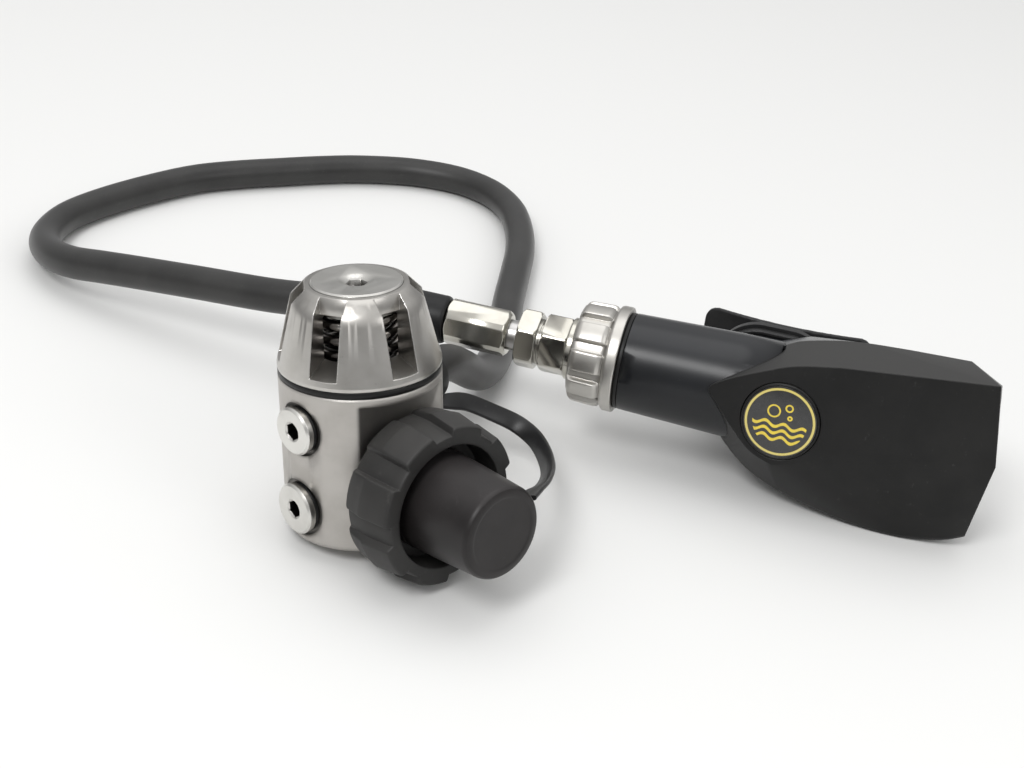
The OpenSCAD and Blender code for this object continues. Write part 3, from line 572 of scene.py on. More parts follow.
def makeHose():
    start = [hosePort @ Vector((0, 0, d * mm)) / mm
        for d in (hose["fittingEnd"], hose["fittingEnd"] + 2, hose["fittingEnd"] + 4)]
    finish = [tubeAt @ Vector((0, 0, x * mm)) / mm
        for x in (hose["sleeveX"] - 2, hose["sleeveX"] + 6, hose["ferruleX"] - 6, hose["ferruleX"])]
    line = catmullRom(start + hose["route"] + finish, 8)
    bm = sweptShape(circleSection(hose["diameter"] / 2, 32), line)
    piece = addPiece("rubberHose", bm, Matrix.Identity(4), "first_stage", "hoseRubber", ("lp_hose",), 50)
    length = sum((b - a).length for a, b in zip(line, line[1:]))
    return piece, line, length


def makeSleeve():
    inner, outer, x0, x1 = 6.65, 8.8, hose["sleeveX"], hose["ferruleX"]
    profile = [(inner, x0), (outer - 1.4, x0), (outer - 0.5, x0 + 0.6), (outer, x0 + 2), (outer, x1 - 1.2),
        (outer - 0.3, x1 - 0.4), (outer - 0.8, x1), (inner, x1)]
    return addPiece("hoseSleeve", softenEdges(spunShape(profile, 96, hollow=True), 0.25), tubeAt,
        "first_stage",
        "sleeveRubber", ("hose_sleeve",), slot="strap_rubber")


rubberHose, hoseLine, hoseLength = makeHose()
hoseSleeve = makeSleeve()
ferrule = copyOfNode("hose_ferrule", "hoseFerrule", "hoseMetal", "first_stage", tubeAt)
print("hose made, length", round(hoseLength), "mm")


# Copies of the machined and moulded nodes, merged and smoothed

finishes = {
    "barrel": ("barrelMetal", "first_stage", firstAt),
    "spring_cage": ("cageMetal", "first_stage", firstAt),
    "adjusting_plug": ("plugMetal", "adjusting_plug", firstAt),
    "spring_pad": ("steel", "valve_train", firstAt),
    "clamp_washer": ("steel", "first_stage", firstAt),
    "valve_lifter": ("steel", "valve_train", firstAt),
    "seat_crown": ("brass", "first_stage", firstAt),
    "pressure_poppet": ("steel", "valve_train", firstAt),
    "base_plug": ("barrelMetal", "first_stage", firstAt),
    "low_port_plugs": ("plugMetal", "first_stage", None),
    "high_port_plugs": ("plugMetal", "first_stage", None),
    "connector_stem": ("plugMetal", "first_stage", connectorAt),
    "inlet_filter": ("bronze", "first_stage", connectorAt),
    "filter_clip": ("steel", "first_stage", connectorAt),
    "hose_fitting": ("hoseMetal", "first_stage", hosePort),
    "hose_stem": ("steel", "first_stage", tubeAt),
    "swivel_nut": ("hoseMetal", "second_stage", tubeAt),
    "inlet_fitting": ("hoseMetal", "second_stage", tubeAt),
    "housing": ("housingPlastic", "second_stage", tubeAt),
    "orifice": ("brass", "second_stage", tubeAt),
    "valve_barrel": ("steel", "second_stage", tubeAt),
    "valve_poppet": ("valvePlastic", "valve_poppet", tubeAt),
    "lever": ("steel", "lever", None),
    "diaphragm_clamp": ("clampPlastic", "second_stage", badgeAt),
    "diaphragm_plate": ("steel", "diaphragm_plate", badgeAt),
    "mouthpiece_clamp": ("clampPlastic", "second_stage", None),
}

for node, (material, body, axis) in finishes.items():
    words = node.title().split("_")
    copyOfNode(node, words[0].lower() + "".join(words[1:]), material, body, axis, 24)
print("machined pieces made:", len(finishes))


# Hollow moulded pieces are cut with helper shapes

def helperObject(name, bm, place=Matrix.Identity(4)):
    bmesh.ops.remove_doubles(bm, verts=bm.verts, dist=1e-7)
    bmesh.ops.recalc_face_normals(bm, faces=bm.faces)
    bm.transform(place)
    mesh = bpy.data.meshes.new(name)
    bm.to_mesh(mesh)
    bm.free()
    helper = bpy.data.objects.new(name, mesh)
    scene.collection.objects.link(helper)
    return helper


def applyModifiers(piece):
    bpy.context.view_layer.update()
    evaluated = piece.evaluated_get(bpy.context.evaluated_depsgraph_get())
    mesh = bpy.data.meshes.new_from_object(evaluated)
    piece.modifiers.clear()
    piece.data = mesh
    return piece


def combine(piece, helpers, operation="DIFFERENCE"):
    for helper in helpers:
        modifier = piece.modifiers.new(helper.name, "BOOLEAN")
        modifier.operation, modifier.object, modifier.solver = operation, helper, "EXACT"
    applyModifiers(piece)
    for helper in helpers:
        bpy.data.objects.remove(helper)
    return piece


def fromHelper(helper, name, body, material, replaced, smoothDegrees, slot=None):
    bm = bmesh.new()
    bm.from_mesh(helper.data)
    bpy.data.objects.remove(helper)
    piece = addPiece(name, bm, Matrix.Identity(4), body, material, replaced, smoothDegrees, slot)
    evenShading(piece)
    return piece


def rod(radius, low, high, steps=96):
    return spunShape([(0, low), (radius, low), (radius, high), (0, high)], steps)


def hullOf(points):
    bm = bmesh.new()
    for point in points:
        bm.verts.new(Vector(point) * mm)
    made = bmesh.ops.convex_hull(bm, input=bm.verts)
    spare = [g for g in made["geom_interior"] + made["geom_unused"] if isinstance(g, bmesh.types.BMVert)]
    bmesh.ops.delete(bm, geom=list(set(spare)), context="VERTS")
    bmesh.ops.dissolve_limit(bm, angle_limit=math.radians(0.6), use_dissolve_boundaries=False,
        verts=bm.verts, edges=bm.edges)
    return bm


# Cover: a hood spanned between its front face and its rim

cover = {
    "wall": 2.2,
    "frontY": -22.1, "frontX": 73, "frontTurn": 4.34,
    "rimY": -9, "rimZ": -37, "rimTilt": 9.46,
    "faceLeft": [(73, 21.6), (59, 18.5), (48.6, 14.1), (36, 7.6), (31.1, 3.2), (35, -1.5), (42, -9),
        (49, -15), (57, -17.8),
        (65, -15.5), (71, -9)],
    "faceRight": [(73, 21.6), (103.8, 24.7), (123.3, 26.9), (128.1, -0.5), (74, -3)],
    "rimTop": [(29.8, -2), (33.3, 3.1), (39.5, 8.9), (46.5, 14.6), (55.5, 19.8), (63, 22.1), (75.5, 24.4),
        (90, 25.4),
        (104, 25.9), (114.2, 26.2)],
    "rimEnd": [(125.7, 20.4), (129.3, -3), (125.6, -32.2)],
    "rimLow": [(125.6, -32.2), (118.5, -35.2), (104.5, -37.6), (90, -37.3), (74, -34.8), (57.9, -30.6),
        (46.4, -25.2),
        (36, -16.2), (31.4, -9.3), (29.8, -2)],
    "creaseWidth": 1.0,
    "buttonHole": 13.7,
    "outlet": ((112, -13, -18), (40, 26, 35)),
    "outletEdge": 3,
    "tubeHole": [(0, -1), (17.35, -1), (18.55, 38), (18.55, 53), (0, 53)],
    "flangeRoom": (14.55, -5, -2.3),
}


def inset(points, amount):
    # Moves a closed outline inwards by amount
    if not amount:
        return points
    area = sum(a[0] * b[1] - b[0] * a[1] for a, b in zip(points, points[1:] + points[:1]))
    sign = 1 if area > 0 else -1
    moved = []
    for i, point in enumerate(points):
        before, after = Vector(points[i - 1]), Vector(points[(i + 1) % len(points)])
        here = Vector(point)
        first, second = (here - before).normalized(), (after - here).normalized()
        normal = Vector((-first.y - second.y, first.x + second.x)).normalized() * sign
        cosine = max(0.35, normal.dot(Vector((-first.y, first.x)) * sign))
        moved.append(tuple(here + normal * amount / cosine))
    return moved


def smoothOutline(points, parts=5):
    return [(p.x, p.y) for p in catmullRom([(x, z, 0) for x, z in points], parts)]


def onFront(point, shift=0.0):
    x, z = point
    if x > cover["frontX"]:
        return (x, cover["frontY"] + shift, z)
    angle = math.radians(cover["frontTurn"])
    return (cover["frontX"] + (x - cover["frontX"]) * math.cos(angle),
        cover["frontY"] + shift + (cover["frontX"] - x) * math.sin(angle), z)


def onRim(point, shift=0.0):
    x, z = point
    return (x, cover["rimY"] + shift + (z - cover["rimZ"]) * math.tan(math.radians(cover["rimTilt"])), z)


def coverPoints(wall=0.0, shift=0.0, rimShift=0.0):
    left = inset(cover["faceLeft"], wall)
    right = inset(cover["faceRight"], wall)
    rim = inset(cover["rimTop"] + cover["rimEnd"][:-1] + cover["rimLow"][:-1], wall)
    top = len(cover["rimTop"])
    end = top + len(cover["rimEnd"]) - 1
    rimParts = [rim[:top], rim[top:end], rim[end:] + rim[:1]]
    points = [onFront(p, shift) for p in smoothOutline(left[:9]) + left[9:] + smoothOutline(right[:3])
        + smoothOutline(right[2:4]) + right[4:]]
    for part in rimParts:
        points += [onRim(p, rimShift) for p in smoothOutline(part)]
    return points


def makeCover():
    bm = hullOf(coverPoints())
    softenEdges(bm, cover["creaseWidth"], 13, 3)
    hood = helperObject("hood", bm)
    low, size = cover["outlet"]
    outlet = bmesh.new()
    bmesh.ops.create_cube(outlet, size=1)
    bmesh.ops.scale(outlet, vec=[s * mm for s in size], verts=outlet.verts)
    bmesh.ops.translate(outlet, vec=[(a + s / 2) * mm for a, s in zip(low, size)], verts=outlet.verts)
    bmesh.ops.bevel(outlet, geom=outlet.edges[:], offset=cover["outletEdge"] * mm, affect="EDGES",
        segments=4, profile=0.5, material=-1)
    badge = secondAt.inverted() @ badgeAt
    combine(hood, [
            helperObject("hollow", hullOf(coverPoints(cover["wall"], cover["wall"], 1))),
            helperObject("tubeHole", spunShape(cover["tubeHole"]), turn(90, "Y")),
            helperObject("buttonHole", rod(cover["buttonHole"], -14, 20), badge),
            helperObject("flangeRoom", rod(*cover["flangeRoom"]), badge),
            helperObject("outlet", outlet)])
    hood.data.transform(secondAt)
    return fromHelper(hood, "frontCover", "second_stage", "coverPlastic", ("cover",), 22)


# Rings, seals and diaphragms of rubber

def ringProfile(radius, small, height, count=20):
    return [(radius + small * math.cos(2 * math.pi * k / count), height
            + small * math.sin(2 * math.pi * k / count))
        for k in range(count)]


ringSeals = {
    "baseSeal": ("base_o_ring", "first_stage", [(firstAt, 12.9, 0.9, 5.1)]),
    "lowPortSeals": ("low_port_o_rings", "first_stage",
        [(portAt(a, 39.5), 6.6, 0.95, 25.15) for a in (-87, 180)]),
    "highPortSeals": ("high_port_o_rings", "first_stage",
        [(portAt(a, 12), 7.2, 0.95, 25.15) for a in (-90, 90)]),
    "connectorSeal": ("connector_o_ring", "first_stage", [(connectorAt, 7.1, 0.95, 60.25)]),
    "fittingSeal": ("hose_fitting_o_ring", "first_stage", [(hosePort, 6.01, 0.95, 25.15)]),
    "stemSeal": ("stem_o_ring", "first_stage", [(tubeAt, 3.6, 0.6, -29.95)]),
}


def makeSeals():
    for name, (node, body, rings) in ringSeals.items():
        bm = bmesh.new()
        for place, radius, small, height in rings:
            part = spunShape(ringProfile(radius, small, height), 72, hollow=True)
            part.transform(place)
            addPart(bm, part)
        addPiece(name, bm, Matrix.Identity(4), body, "sealRubber", (node,), 60)
    seal = [(18, 52.6), (25.55, 52.6), (25.9, 52.95), (26, 53.8), (25.9, 54.65), (25.55, 55), (18, 55)]
    addPiece("sealRing", spunShape(seal, 128, hollow=True), firstAt, "first_stage", "sealRubber",
        ("seal_ring",), 40)
    gapRing = [(15.5, -1.8), (16.7, -1.8), (17.15, -1.5), (17.3, -0.9), (17.15, -0.3), (16.7, 0), (15.5, 0)]
    addPiece("gapRing", spunShape(gapRing, 128, hollow=True), tubeAt, "second_stage", "sealRubber",
        ("gap_ring",), 40)


diaphragms = {
    "firstRim": [(11.5, 46.05), (12.4, 46.25), (13.2, 46.05), (18, 46.05), (18, 47.35), (13.2, 47.35),
        (12.4, 47.1), (11.5, 47.3)],
    "firstCentre": [(0, 46.05), (11.5, 46.05), (11.5, 47.35), (0, 47.35)],
    "secondRim": [(9.6, -8.9), (10.3, -9.0), (11.0, -8.75), (11.8, -8.98), (15, -8.98), (15, -8.05),
        (11.9, -8.05), (11.0, -7.95),
        (10.2, -8.2), (9.6, -8.1)],
    "secondCentre": [(0, -8.98), (9.6, -8.98), (9.6, -8.03), (0, -8.03)],
    "exhaust": [(0, -3.6), (1.2, -3.5), (2, -3.1), (1.9, -2.2), (1.2, -1.6), (1.2, 2.05), (6.0, 2.3),
        (8.2, 2.15), (9.3, 2.05),
        (9.3, 2.35), (8.2, 2.7), (4.5, 3.0), (0, 3.4)],
}


diaphragmPieces = {
    "firstDiaphragmRim": ("firstRim", firstAt, "first_stage", "first_diaphragm", True, 32),
    "firstDiaphragmCentre": ("firstCentre", firstAt, "valve_train", "first_diaphragm", False, 32),
    "secondDiaphragmRim": ("secondRim", badgeAt, "second_stage", "second_diaphragm", True, 32),
    "secondDiaphragmCentre": ("secondCentre", badgeAt, "diaphragm_plate", "second_diaphragm", False, 32),
    "exhaustValve": ("exhaust", secondAt @ move(96, 8.6, -4) @ turn(90, "Y"), "exhaust_valve",
        "exhaust_valve", False, 50),
}


def makeDiaphragms():
    for name, (profile, place, body, node, hollow, smoothDegrees) in diaphragmPieces.items():
        addPiece(name, spunShape(diaphragms[profile], hollow=hollow), place, body, "sealRubber", (node,),
            smoothDegrees,
            "diaphragm_rubber")


# Springs

springs = {
    "mainSpring": {"node": "main_spring", "place": firstAt, "radius": 12.1, "wire": 1.8, "low": 52.3,
        "high": 74, "turns": 4.6, "steps": 56, "sides": 14, "bodies": ("first_stage", "valve_train"),
        "fixedEnd": "high"},
    "poppetSpring": {"node": "poppet_spring", "place": firstAt, "radius": 2.95, "wire": 0.45, "low": 14,
        "high": 21.5, "turns": 4, "steps": 28, "sides": 8, "bodies": ("first_stage", "valve_train"),
        "fixedEnd": "low"},
    "valveSpring": {"node": "valve_spring", "place": tubeAt, "radius": 2.8, "wire": 0.5, "low": 17,
        "high": 50, "turns": 12, "steps": 28, "sides": 8, "bodies": ("second_stage", "valve_poppet"),
        "fixedEnd": "high"},
    "purgeSpring": {"node": "purge_spring", "place": badgeAt, "radius": 13.05, "wire": 0.35, "low": -6.6,
        "high": -3.7, "turns": 2.5, "steps": 48, "sides": 8, "bodies": ("second_stage", "purge"),
        "fixedEnd": "low"},
}


def makeSprings():
    for name, spring in springs.items():
        steps = math.ceil(spring["turns"] * spring["steps"])
        rise = spring["high"] - spring["low"] - 2 * spring["wire"]
        line = []
        for i in range(steps + 1):
            share = i / steps
            height = min(1, max(0, (share * spring["turns"] - 0.5) / (spring["turns"] - 1)))
            angle = 2 * math.pi * spring["turns"] * share
            line.append(Vector((spring["radius"] * math.cos(angle), spring["radius"] * math.sin(angle),
                        spring["low"] + spring["wire"] + rise * height)))
        bm = sweptShape(circleSection(spring["wire"], spring["sides"]), line)
        piece = addPiece(name, bm, spring["place"], None, "springSteel", (spring["node"],), 60)
        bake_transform(piece)


# Hand wheel and retaining nut: a turned ring whose outside steps out at the grip pads

handWheel = {
    "pads": 8, "padDegrees": 28, "firstPad": 103.5,
    # (ring radius, ring height, pad radius, pad height)
    "profile": [(12.5, 22.6, 12.5, 22.6), (22.2, 22.6, 22.2, 22.6), (23.4, 22.65, 24.4, 23.05),
        (24.3, 23.3, 25.4, 23.4),
        (24.9, 24.4, 26.3, 24.8), (25.05, 28, 26.75, 28), (25.1, 30.6, 27.1, 30.7),
        (25.05, 32.6, 27.45, 32),
        (24.75, 35.5, 27.05, 35), (24.3, 39.5, 26.45, 39.4), (24.0, 42.0, 26.1, 42.2),
        (23.5, 42.8, 25.7, 42.8),
        (22.9, 43, 25.1, 43), (20.9, 43, 20.9, 43), (20.3, 42.8, 20.3, 42.8), (20, 42.2, 20, 42.2),
        (20, 34, 20, 34),
        (19.7, 33.3, 19.7, 33.3), (19, 33, 19, 33), (12.5, 33, 12.5, 33)],
}

retainingNut = {
    "pads": 10, "padDegrees": 24, "firstPad": 0,
    "profile": [(10, -19, 10, -19), (14.3, -19, 14.3, -19), (15.1, -18.7, 15.9, -18.75),
        (15.8, -18.1, 17.1, -18.15),
        (16.1, -17.3, 17.9, -17.2), (16.2, -16, 18.1, -16), (16.35, -12, 18.25, -12),
        (16.45, -8.8, 18.35, -8.8),
        (16.5, -7.9, 18.1, -7.7), (16.6, -7.2, 17.3, -7.0), (17.0, -6.7, 17.2, -6.6),
        (18.2, -6.15, 18.2, -6.15),
        (18.75, -5.75, 18.75, -5.75), (19, -5.1, 19, -5.1), (19, -2.5, 19, -2.5),
        (18.85, -2.0, 18.85, -2.0),
        (18.4, -1.8, 18.4, -1.8), (15.5, -1.8, 15.5, -1.8), (15.5, -12, 15.5, -12), (10, -12, 10, -12)],
}


def paddedRing(shape, stepsPerPad):
    # Turns the ring's profile, then pushes what lies in a pad's sector out to the pad's profile
    profile = shape["profile"]
    bm = spunShape([(r, z) for r, z, _, _ in profile], shape["pads"] * stepsPerPad, hollow=True,
        start=shape["firstPad"])
    bmesh.ops.remove_doubles(bm, verts=bm.verts, dist=1e-7)
    pitch = 360 / shape["pads"]
    targets = {(round(r, 3), round(z, 3)): (pr, pz) for r, z, pr, pz in profile}
    for vertex in bm.verts:
        radius = math.hypot(vertex.co.x, vertex.co.y) / mm
        angle = (math.degrees(math.atan2(vertex.co.y, vertex.co.x)) - shape["firstPad"] + 0.01) % pitch
        if angle > shape["padDegrees"] + 0.02:
            continue
        padRadius, padHeight = targets[min(targets, key=lambda t: abs(t[0] - radius)
                + abs(t[1] - vertex.co.z / mm))]
        across = min(angle, shape["padDegrees"] - angle)
        share = min(1.0, 0.55 + 0.45 * across / 1.2) if across < 1.2 else 1.0
        newRadius = radius + (padRadius - radius) * share
        vertex.co.x *= newRadius / radius
        vertex.co.y *= newRadius / radius
        vertex.co.z += (padHeight * mm - vertex.co.z) * share
    return bm


def makeWheel():
    piece = addPiece("handWheel", paddedRing(handWheel, 45), connectorAt, "hand_wheel", "wheelPlastic",
        ("hand_wheel",), 38)
    evenShading(piece)


def makeRetainingNut():
    piece = addPiece("retainingNut", paddedRing(retainingNut, 36), tubeAt, "second_stage", "nutMetal",
        ("retaining_nut",), 38)
    evenShading(piece)


# Cylinder thread on its sleeve

thread = {"pitch": 1.814, "low": 34.4, "high": 55.6, "root": 10.35, "crest": 11.4, "bore": 7.55}


def makeThread():
    core = spunShape([(thread["bore"], 22.4), (12.5, 22.4), (12.5, 31), (10.25, 31), (10.25, 33),
            (thread["root"], 33.4),
            (thread["root"], 56.3), (9.9, 57.1), (thread["bore"], 57.1)], 96, hollow=True)
    turns = (thread["high"] - thread["low"]) / thread["pitch"]
    half = thread["pitch"] * 0.46
    steps = 48
    line = []
    for i in range(int(turns * steps) + 1):
        angle = 2 * math.pi * i / steps
        line.append(Vector((math.cos(angle), math.sin(angle), thread["low"] + thread["pitch"] * i / steps)))
    ridge = bmesh.new()
    section = [(thread["root"] - 0.3, -half), (thread["crest"], -0.14), (thread["crest"], 0.14),
        (thread["root"] - 0.3, half)]
    ring = None
    for i, point in enumerate(line):
        taper = min(1.0, i / 20, (len(line) - 1 - i) / 20)
        radii = [section[0][0] + (r - section[0][0]) * max(taper, 0.02) for r, z in section]
        places = [Vector((point.x * radius, point.y * radius, point.z + z)) * mm
            for radius, (r, z) in zip(radii, section)]
        if ring is None:
            ring = [ridge.verts.new(p) for p in places]
            edges = [ridge.edges.new((ring[k], ring[(k + 1) % 4])) for k in range(4)]
            ridge.faces.new(ring)
            continue
        order = {vertex: k for k, vertex in enumerate(ring)}
        made = bmesh.ops.extrude_edge_only(ridge, edges=edges)["geom"]
        fresh = [None] * 4
        for vertex in [v for v in made if isinstance(v, bmesh.types.BMVert)]:
            k = next(order[e.other_vert(vertex)] for e in vertex.link_edges
                if e.other_vert(vertex) in order)
            vertex.co = places[k]
            fresh[k] = vertex
        ring = fresh
        edges = [ridge.edges.get((ring[k], ring[(k + 1) % 4])) for k in range(4)]
    ridge.faces.new(ring)
    bmesh.ops.recalc_face_normals(ridge, faces=ridge.faces)
    addPart(core, ridge)
    addPiece("threadedSleeve", core, connectorAt, "hand_wheel", "barrelMetal", ("threaded_sleeve",), 30)


# Dust cap and its strap

dustCap = {
    "profile": [(12.6, 33.3), (16.2, 33.3), (16.5, 33.6), (16.5, 36.6), (16.15, 37.1), (15.95, 45.3),
        (15.0, 64.6), (14.75, 65.5),
        (14.2, 66.15), (13.4, 66.4), (12.4, 66.5), (11.7, 66.45), (11.3, 66.25), (0, 66.25), (0, 62),
        (12.6, 62)],
}

strap = {
    "route": [(18.5, 34.6, 24.5), (23, 38, 23.8), (28.6, 41.5, 22), (38.2, 43.8, 17.5), (46.1, 43.4, 14.5),
        (52.5, 38, 13),
        (56.3, 27.8, 13.5), (58, 13.1, 16.5), (56.5, -2.8, 21.5), (53.5, -16.2, 27), (51.2, -26, 30.5)],
    "sides": [(0.41, 0.9, -0.1), (0.3, 0.9, 0.2), (0.1, 0.8, 0.5), (0, 0.75, 0.65), (0.1, 0.7, 0.7),
        (0.35, 0.5, 0.8),
        (0.55, 0.3, 0.8), (0.6, 0.1, 0.8), (0.72, 0.05, 0.62), (0.85, 0.0, 0.35), (0.9, -0.05, 0.2)],
    "width": 6.5, "thickness": 1.6, "parts": 8,
    "ringRadius": 8.6, "ringAt": (33.5, 39.5),
}


def makeCap():
    bm = spunShape(dustCap["profile"], 128)
    piece = addPiece("dustCap", bm, connectorAt, "dust_cap", "capPlastic", ("dust_cap",), 30)
    evenShading(piece)


def makeStrap():
    line = catmullRom(strap["route"], strap["parts"])
    sides = catmullRom(strap["sides"], strap["parts"])
    w, t = strap["width"] / 2, strap["thickness"] / 2
    section = [(-w, -t * 0.35), (-w + 0.25, -t * 0.8), (-w + 0.7, -t), (w - 0.7, -t), (w - 0.25, -t * 0.8),
        (w, -t * 0.35),
        (w, t * 0.35), (w - 0.25, t * 0.8), (w - 0.7, t), (-w + 0.7, t), (-w + 0.25, t * 0.8),
        (-w, t * 0.35)]
    bm = sweptShape(section, line, sides)
    low, high = strap["ringAt"]
    inner, outer = strap["ringRadius"], strap["ringRadius"] + strap["thickness"]
    ring = spunShape([(inner, low), (outer - 0.5, low), (outer - 0.1, low + 0.2), (outer, low + 0.7),
            (outer, high - 0.7),
            (outer - 0.1, high - 0.2), (outer - 0.5, high), (inner, high)], 72, hollow=True)
    ring.transform(hosePort)
    addPart(bm, ring)
    piece = addPiece("capStrap", bm, Matrix.Identity(4), None, "strapRubber", ("cap_strap",), 50)
    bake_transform(piece)


# Mouthpiece, moulded in one with its flange and bite tabs

mouthpiece = {
    "flangeX": 50, "flangeZ": -8.8,
    "outer": [(22.05, 48, 0, 40, 30), (31, 48, 0, 40, 30), (32.5, 48, 0, 39, 29),
        (38, 48.4, -2.4, 38.5, 25.5), (46, 49, -5.4, 40, 22),
        (56, 50, -8.8, 42, 20)],
    "inner": [(21, 48, 0, 36, 26), (31.2, 48, 0, 36, 26), (31.4, 48, 0, 32, 22),
        (40, 48.6, -2.9, 32.5, 18.5), (52, 49.5, -6.9, 33.5, 14),
        (60, 50, -8.8, 34, 13)],
    "flange": (64, 35.4), "flangeCorner": 5, "flangeRadius": 88, "flangeCentreY": 142,
    "flangeThickness": 2.4, "stripWidth": 5.5, "stripsPerSide": 5, "tabEdge": 1.6,
    "tab": (17, 55, 72, 8, 14), "voxel": 0.55,
}


def ovalLoft(sections, count=48):
    # sections are (y, centre x, centre z, width, height); each is a racetrack outline
    bm = bmesh.new()
    loops = []
    for y, cx, cz, width, height in sections:
        half, radius = (width - height) / 2, height / 2
        ring = []
        for k in range(count):
            angle = 2 * math.pi * (k + 0.5) / count
            shift = half if math.cos(angle) > 0 else -half
            ring.append(bm.verts.new(Vector((cx + shift + radius * math.cos(angle), y, cz
                        + radius * math.sin(angle))) * mm))
        loops.append([bm.edges.new((ring[k], ring[(k + 1) % count])) for k in range(count)])
        if len(loops) in (1, len(sections)):
            bm.faces.new(ring)
    for first, second in zip(loops, loops[1:]):
        bmesh.ops.bridge_loops(bm, edges=first + second)
    return bm


def makeFlange():
    # A thick curved shield, round below and with small corners above, bent about an upright axis
    width, height = mouthpiece["flange"]
    bm = bmesh.new()
    bmesh.ops.create_circle(bm, cap_ends=True, radius=1, segments=64)
    for vertex in bm.verts:
        radius = height / 2 if vertex.co.y < 0 else mouthpiece["flangeCorner"]
        shift = Vector((width / 2 - radius, height / 2 - radius))
        side = 1 if vertex.co.x > 0 else -1
        vertex.co = Vector(((side * shift.x + radius * vertex.co.x) * mm, 0,
                (radius * vertex.co.y + (shift.y if vertex.co.y >= 0 else 0)) * mm))
    sheet = bm.faces[:]
    made = bmesh.ops.extrude_face_region(bm, geom=sheet)["geom"]
    bmesh.ops.translate(bm, verts=[v for v in made if isinstance(v, bmesh.types.BMVert)],
        vec=(0, mouthpiece["flangeThickness"] * mm, 0))
    strips = mouthpiece["stripsPerSide"]
    for step in range(-strips, strips + 1):
        bmesh.ops.bisect_plane(bm, geom=bm.verts[:] + bm.edges[:] + bm.faces[:],
            plane_co=(step * mouthpiece["stripWidth"] * mm, 0, 0), plane_no=(1, 0, 0))
    outer = mouthpiece["flangeRadius"] * mm
    for vertex in bm.verts:
        depth = outer - math.sqrt(outer ** 2 - vertex.co.x ** 2)
        vertex.co += Vector((mouthpiece["flangeX"] * mm, (mouthpiece["flangeCentreY"] * mm - outer) + depth,
                mouthpiece["flangeZ"] * mm))
    return bm


def makeMouthpiece():
    body = helperObject("mouthBody", ovalLoft(mouthpiece["outer"]))
    offset, near, far, thick, tall = mouthpiece["tab"]
    helpers = [helperObject("flange", makeFlange())]
    for side in (-1, 1):
        tab = bmesh.new()
        bmesh.ops.create_cube(tab, size=1)
        bmesh.ops.scale(tab, vec=(thick * mm, (far - near) * mm, tall * mm), verts=tab.verts)
        for vertex in [v for v in tab.verts if v.co.y <= 0]:
            vertex.co.z *= 0.8
        bmesh.ops.translate(tab, verts=tab.verts,
            vec=((mouthpiece["flangeX"] + side * offset) * mm, (near + far) / 2 * mm,
                mouthpiece["flangeZ"] * mm))
        bmesh.ops.bevel(tab, geom=tab.edges[:], offset=mouthpiece["tabEdge"] * mm, affect="EDGES",
            segments=3, profile=0.5, material=-1)
        helpers.append(helperObject("tab", tab))
    combine(body, helpers, "UNION")
    combine(body, [helperObject("breath", ovalLoft(mouthpiece["inner"]))])
    remesh = body.modifiers.new("remesh", "REMESH")
    remesh.mode, remesh.voxel_size = "VOXEL", mouthpiece["voxel"] * mm
    relax = body.modifiers.new("relax", "SMOOTH")
    relax.factor, relax.iterations = 0.5, 5
    applyModifiers(body)
    body.data.transform(secondAt)
    fromHelper(body, "mouthpiece", "second_stage", "mouthRubber", ("mouthpiece",), 60, "mouth_silicone")


# Purge button and its badge

badge = {
    "button": [(0, 0.1), (12.6, 0.1), (12.65, 0.5), (12.9, 0.6), (13.2, 0.55), (13.38, 0.3), (13.4, 0),
        (13.4, -2.7), (14.25, -2.7),
        (14.25, -3.7), (11.8, -3.7), (11.8, -1.8), (4, -1.8), (4, -7), (0, -7)],
    "disc": [(0, 0.6), (11.9, 0.58), (12.35, 0.5), (12.55, 0.3), (12.55, 0.1), (0, 0.1)],
}


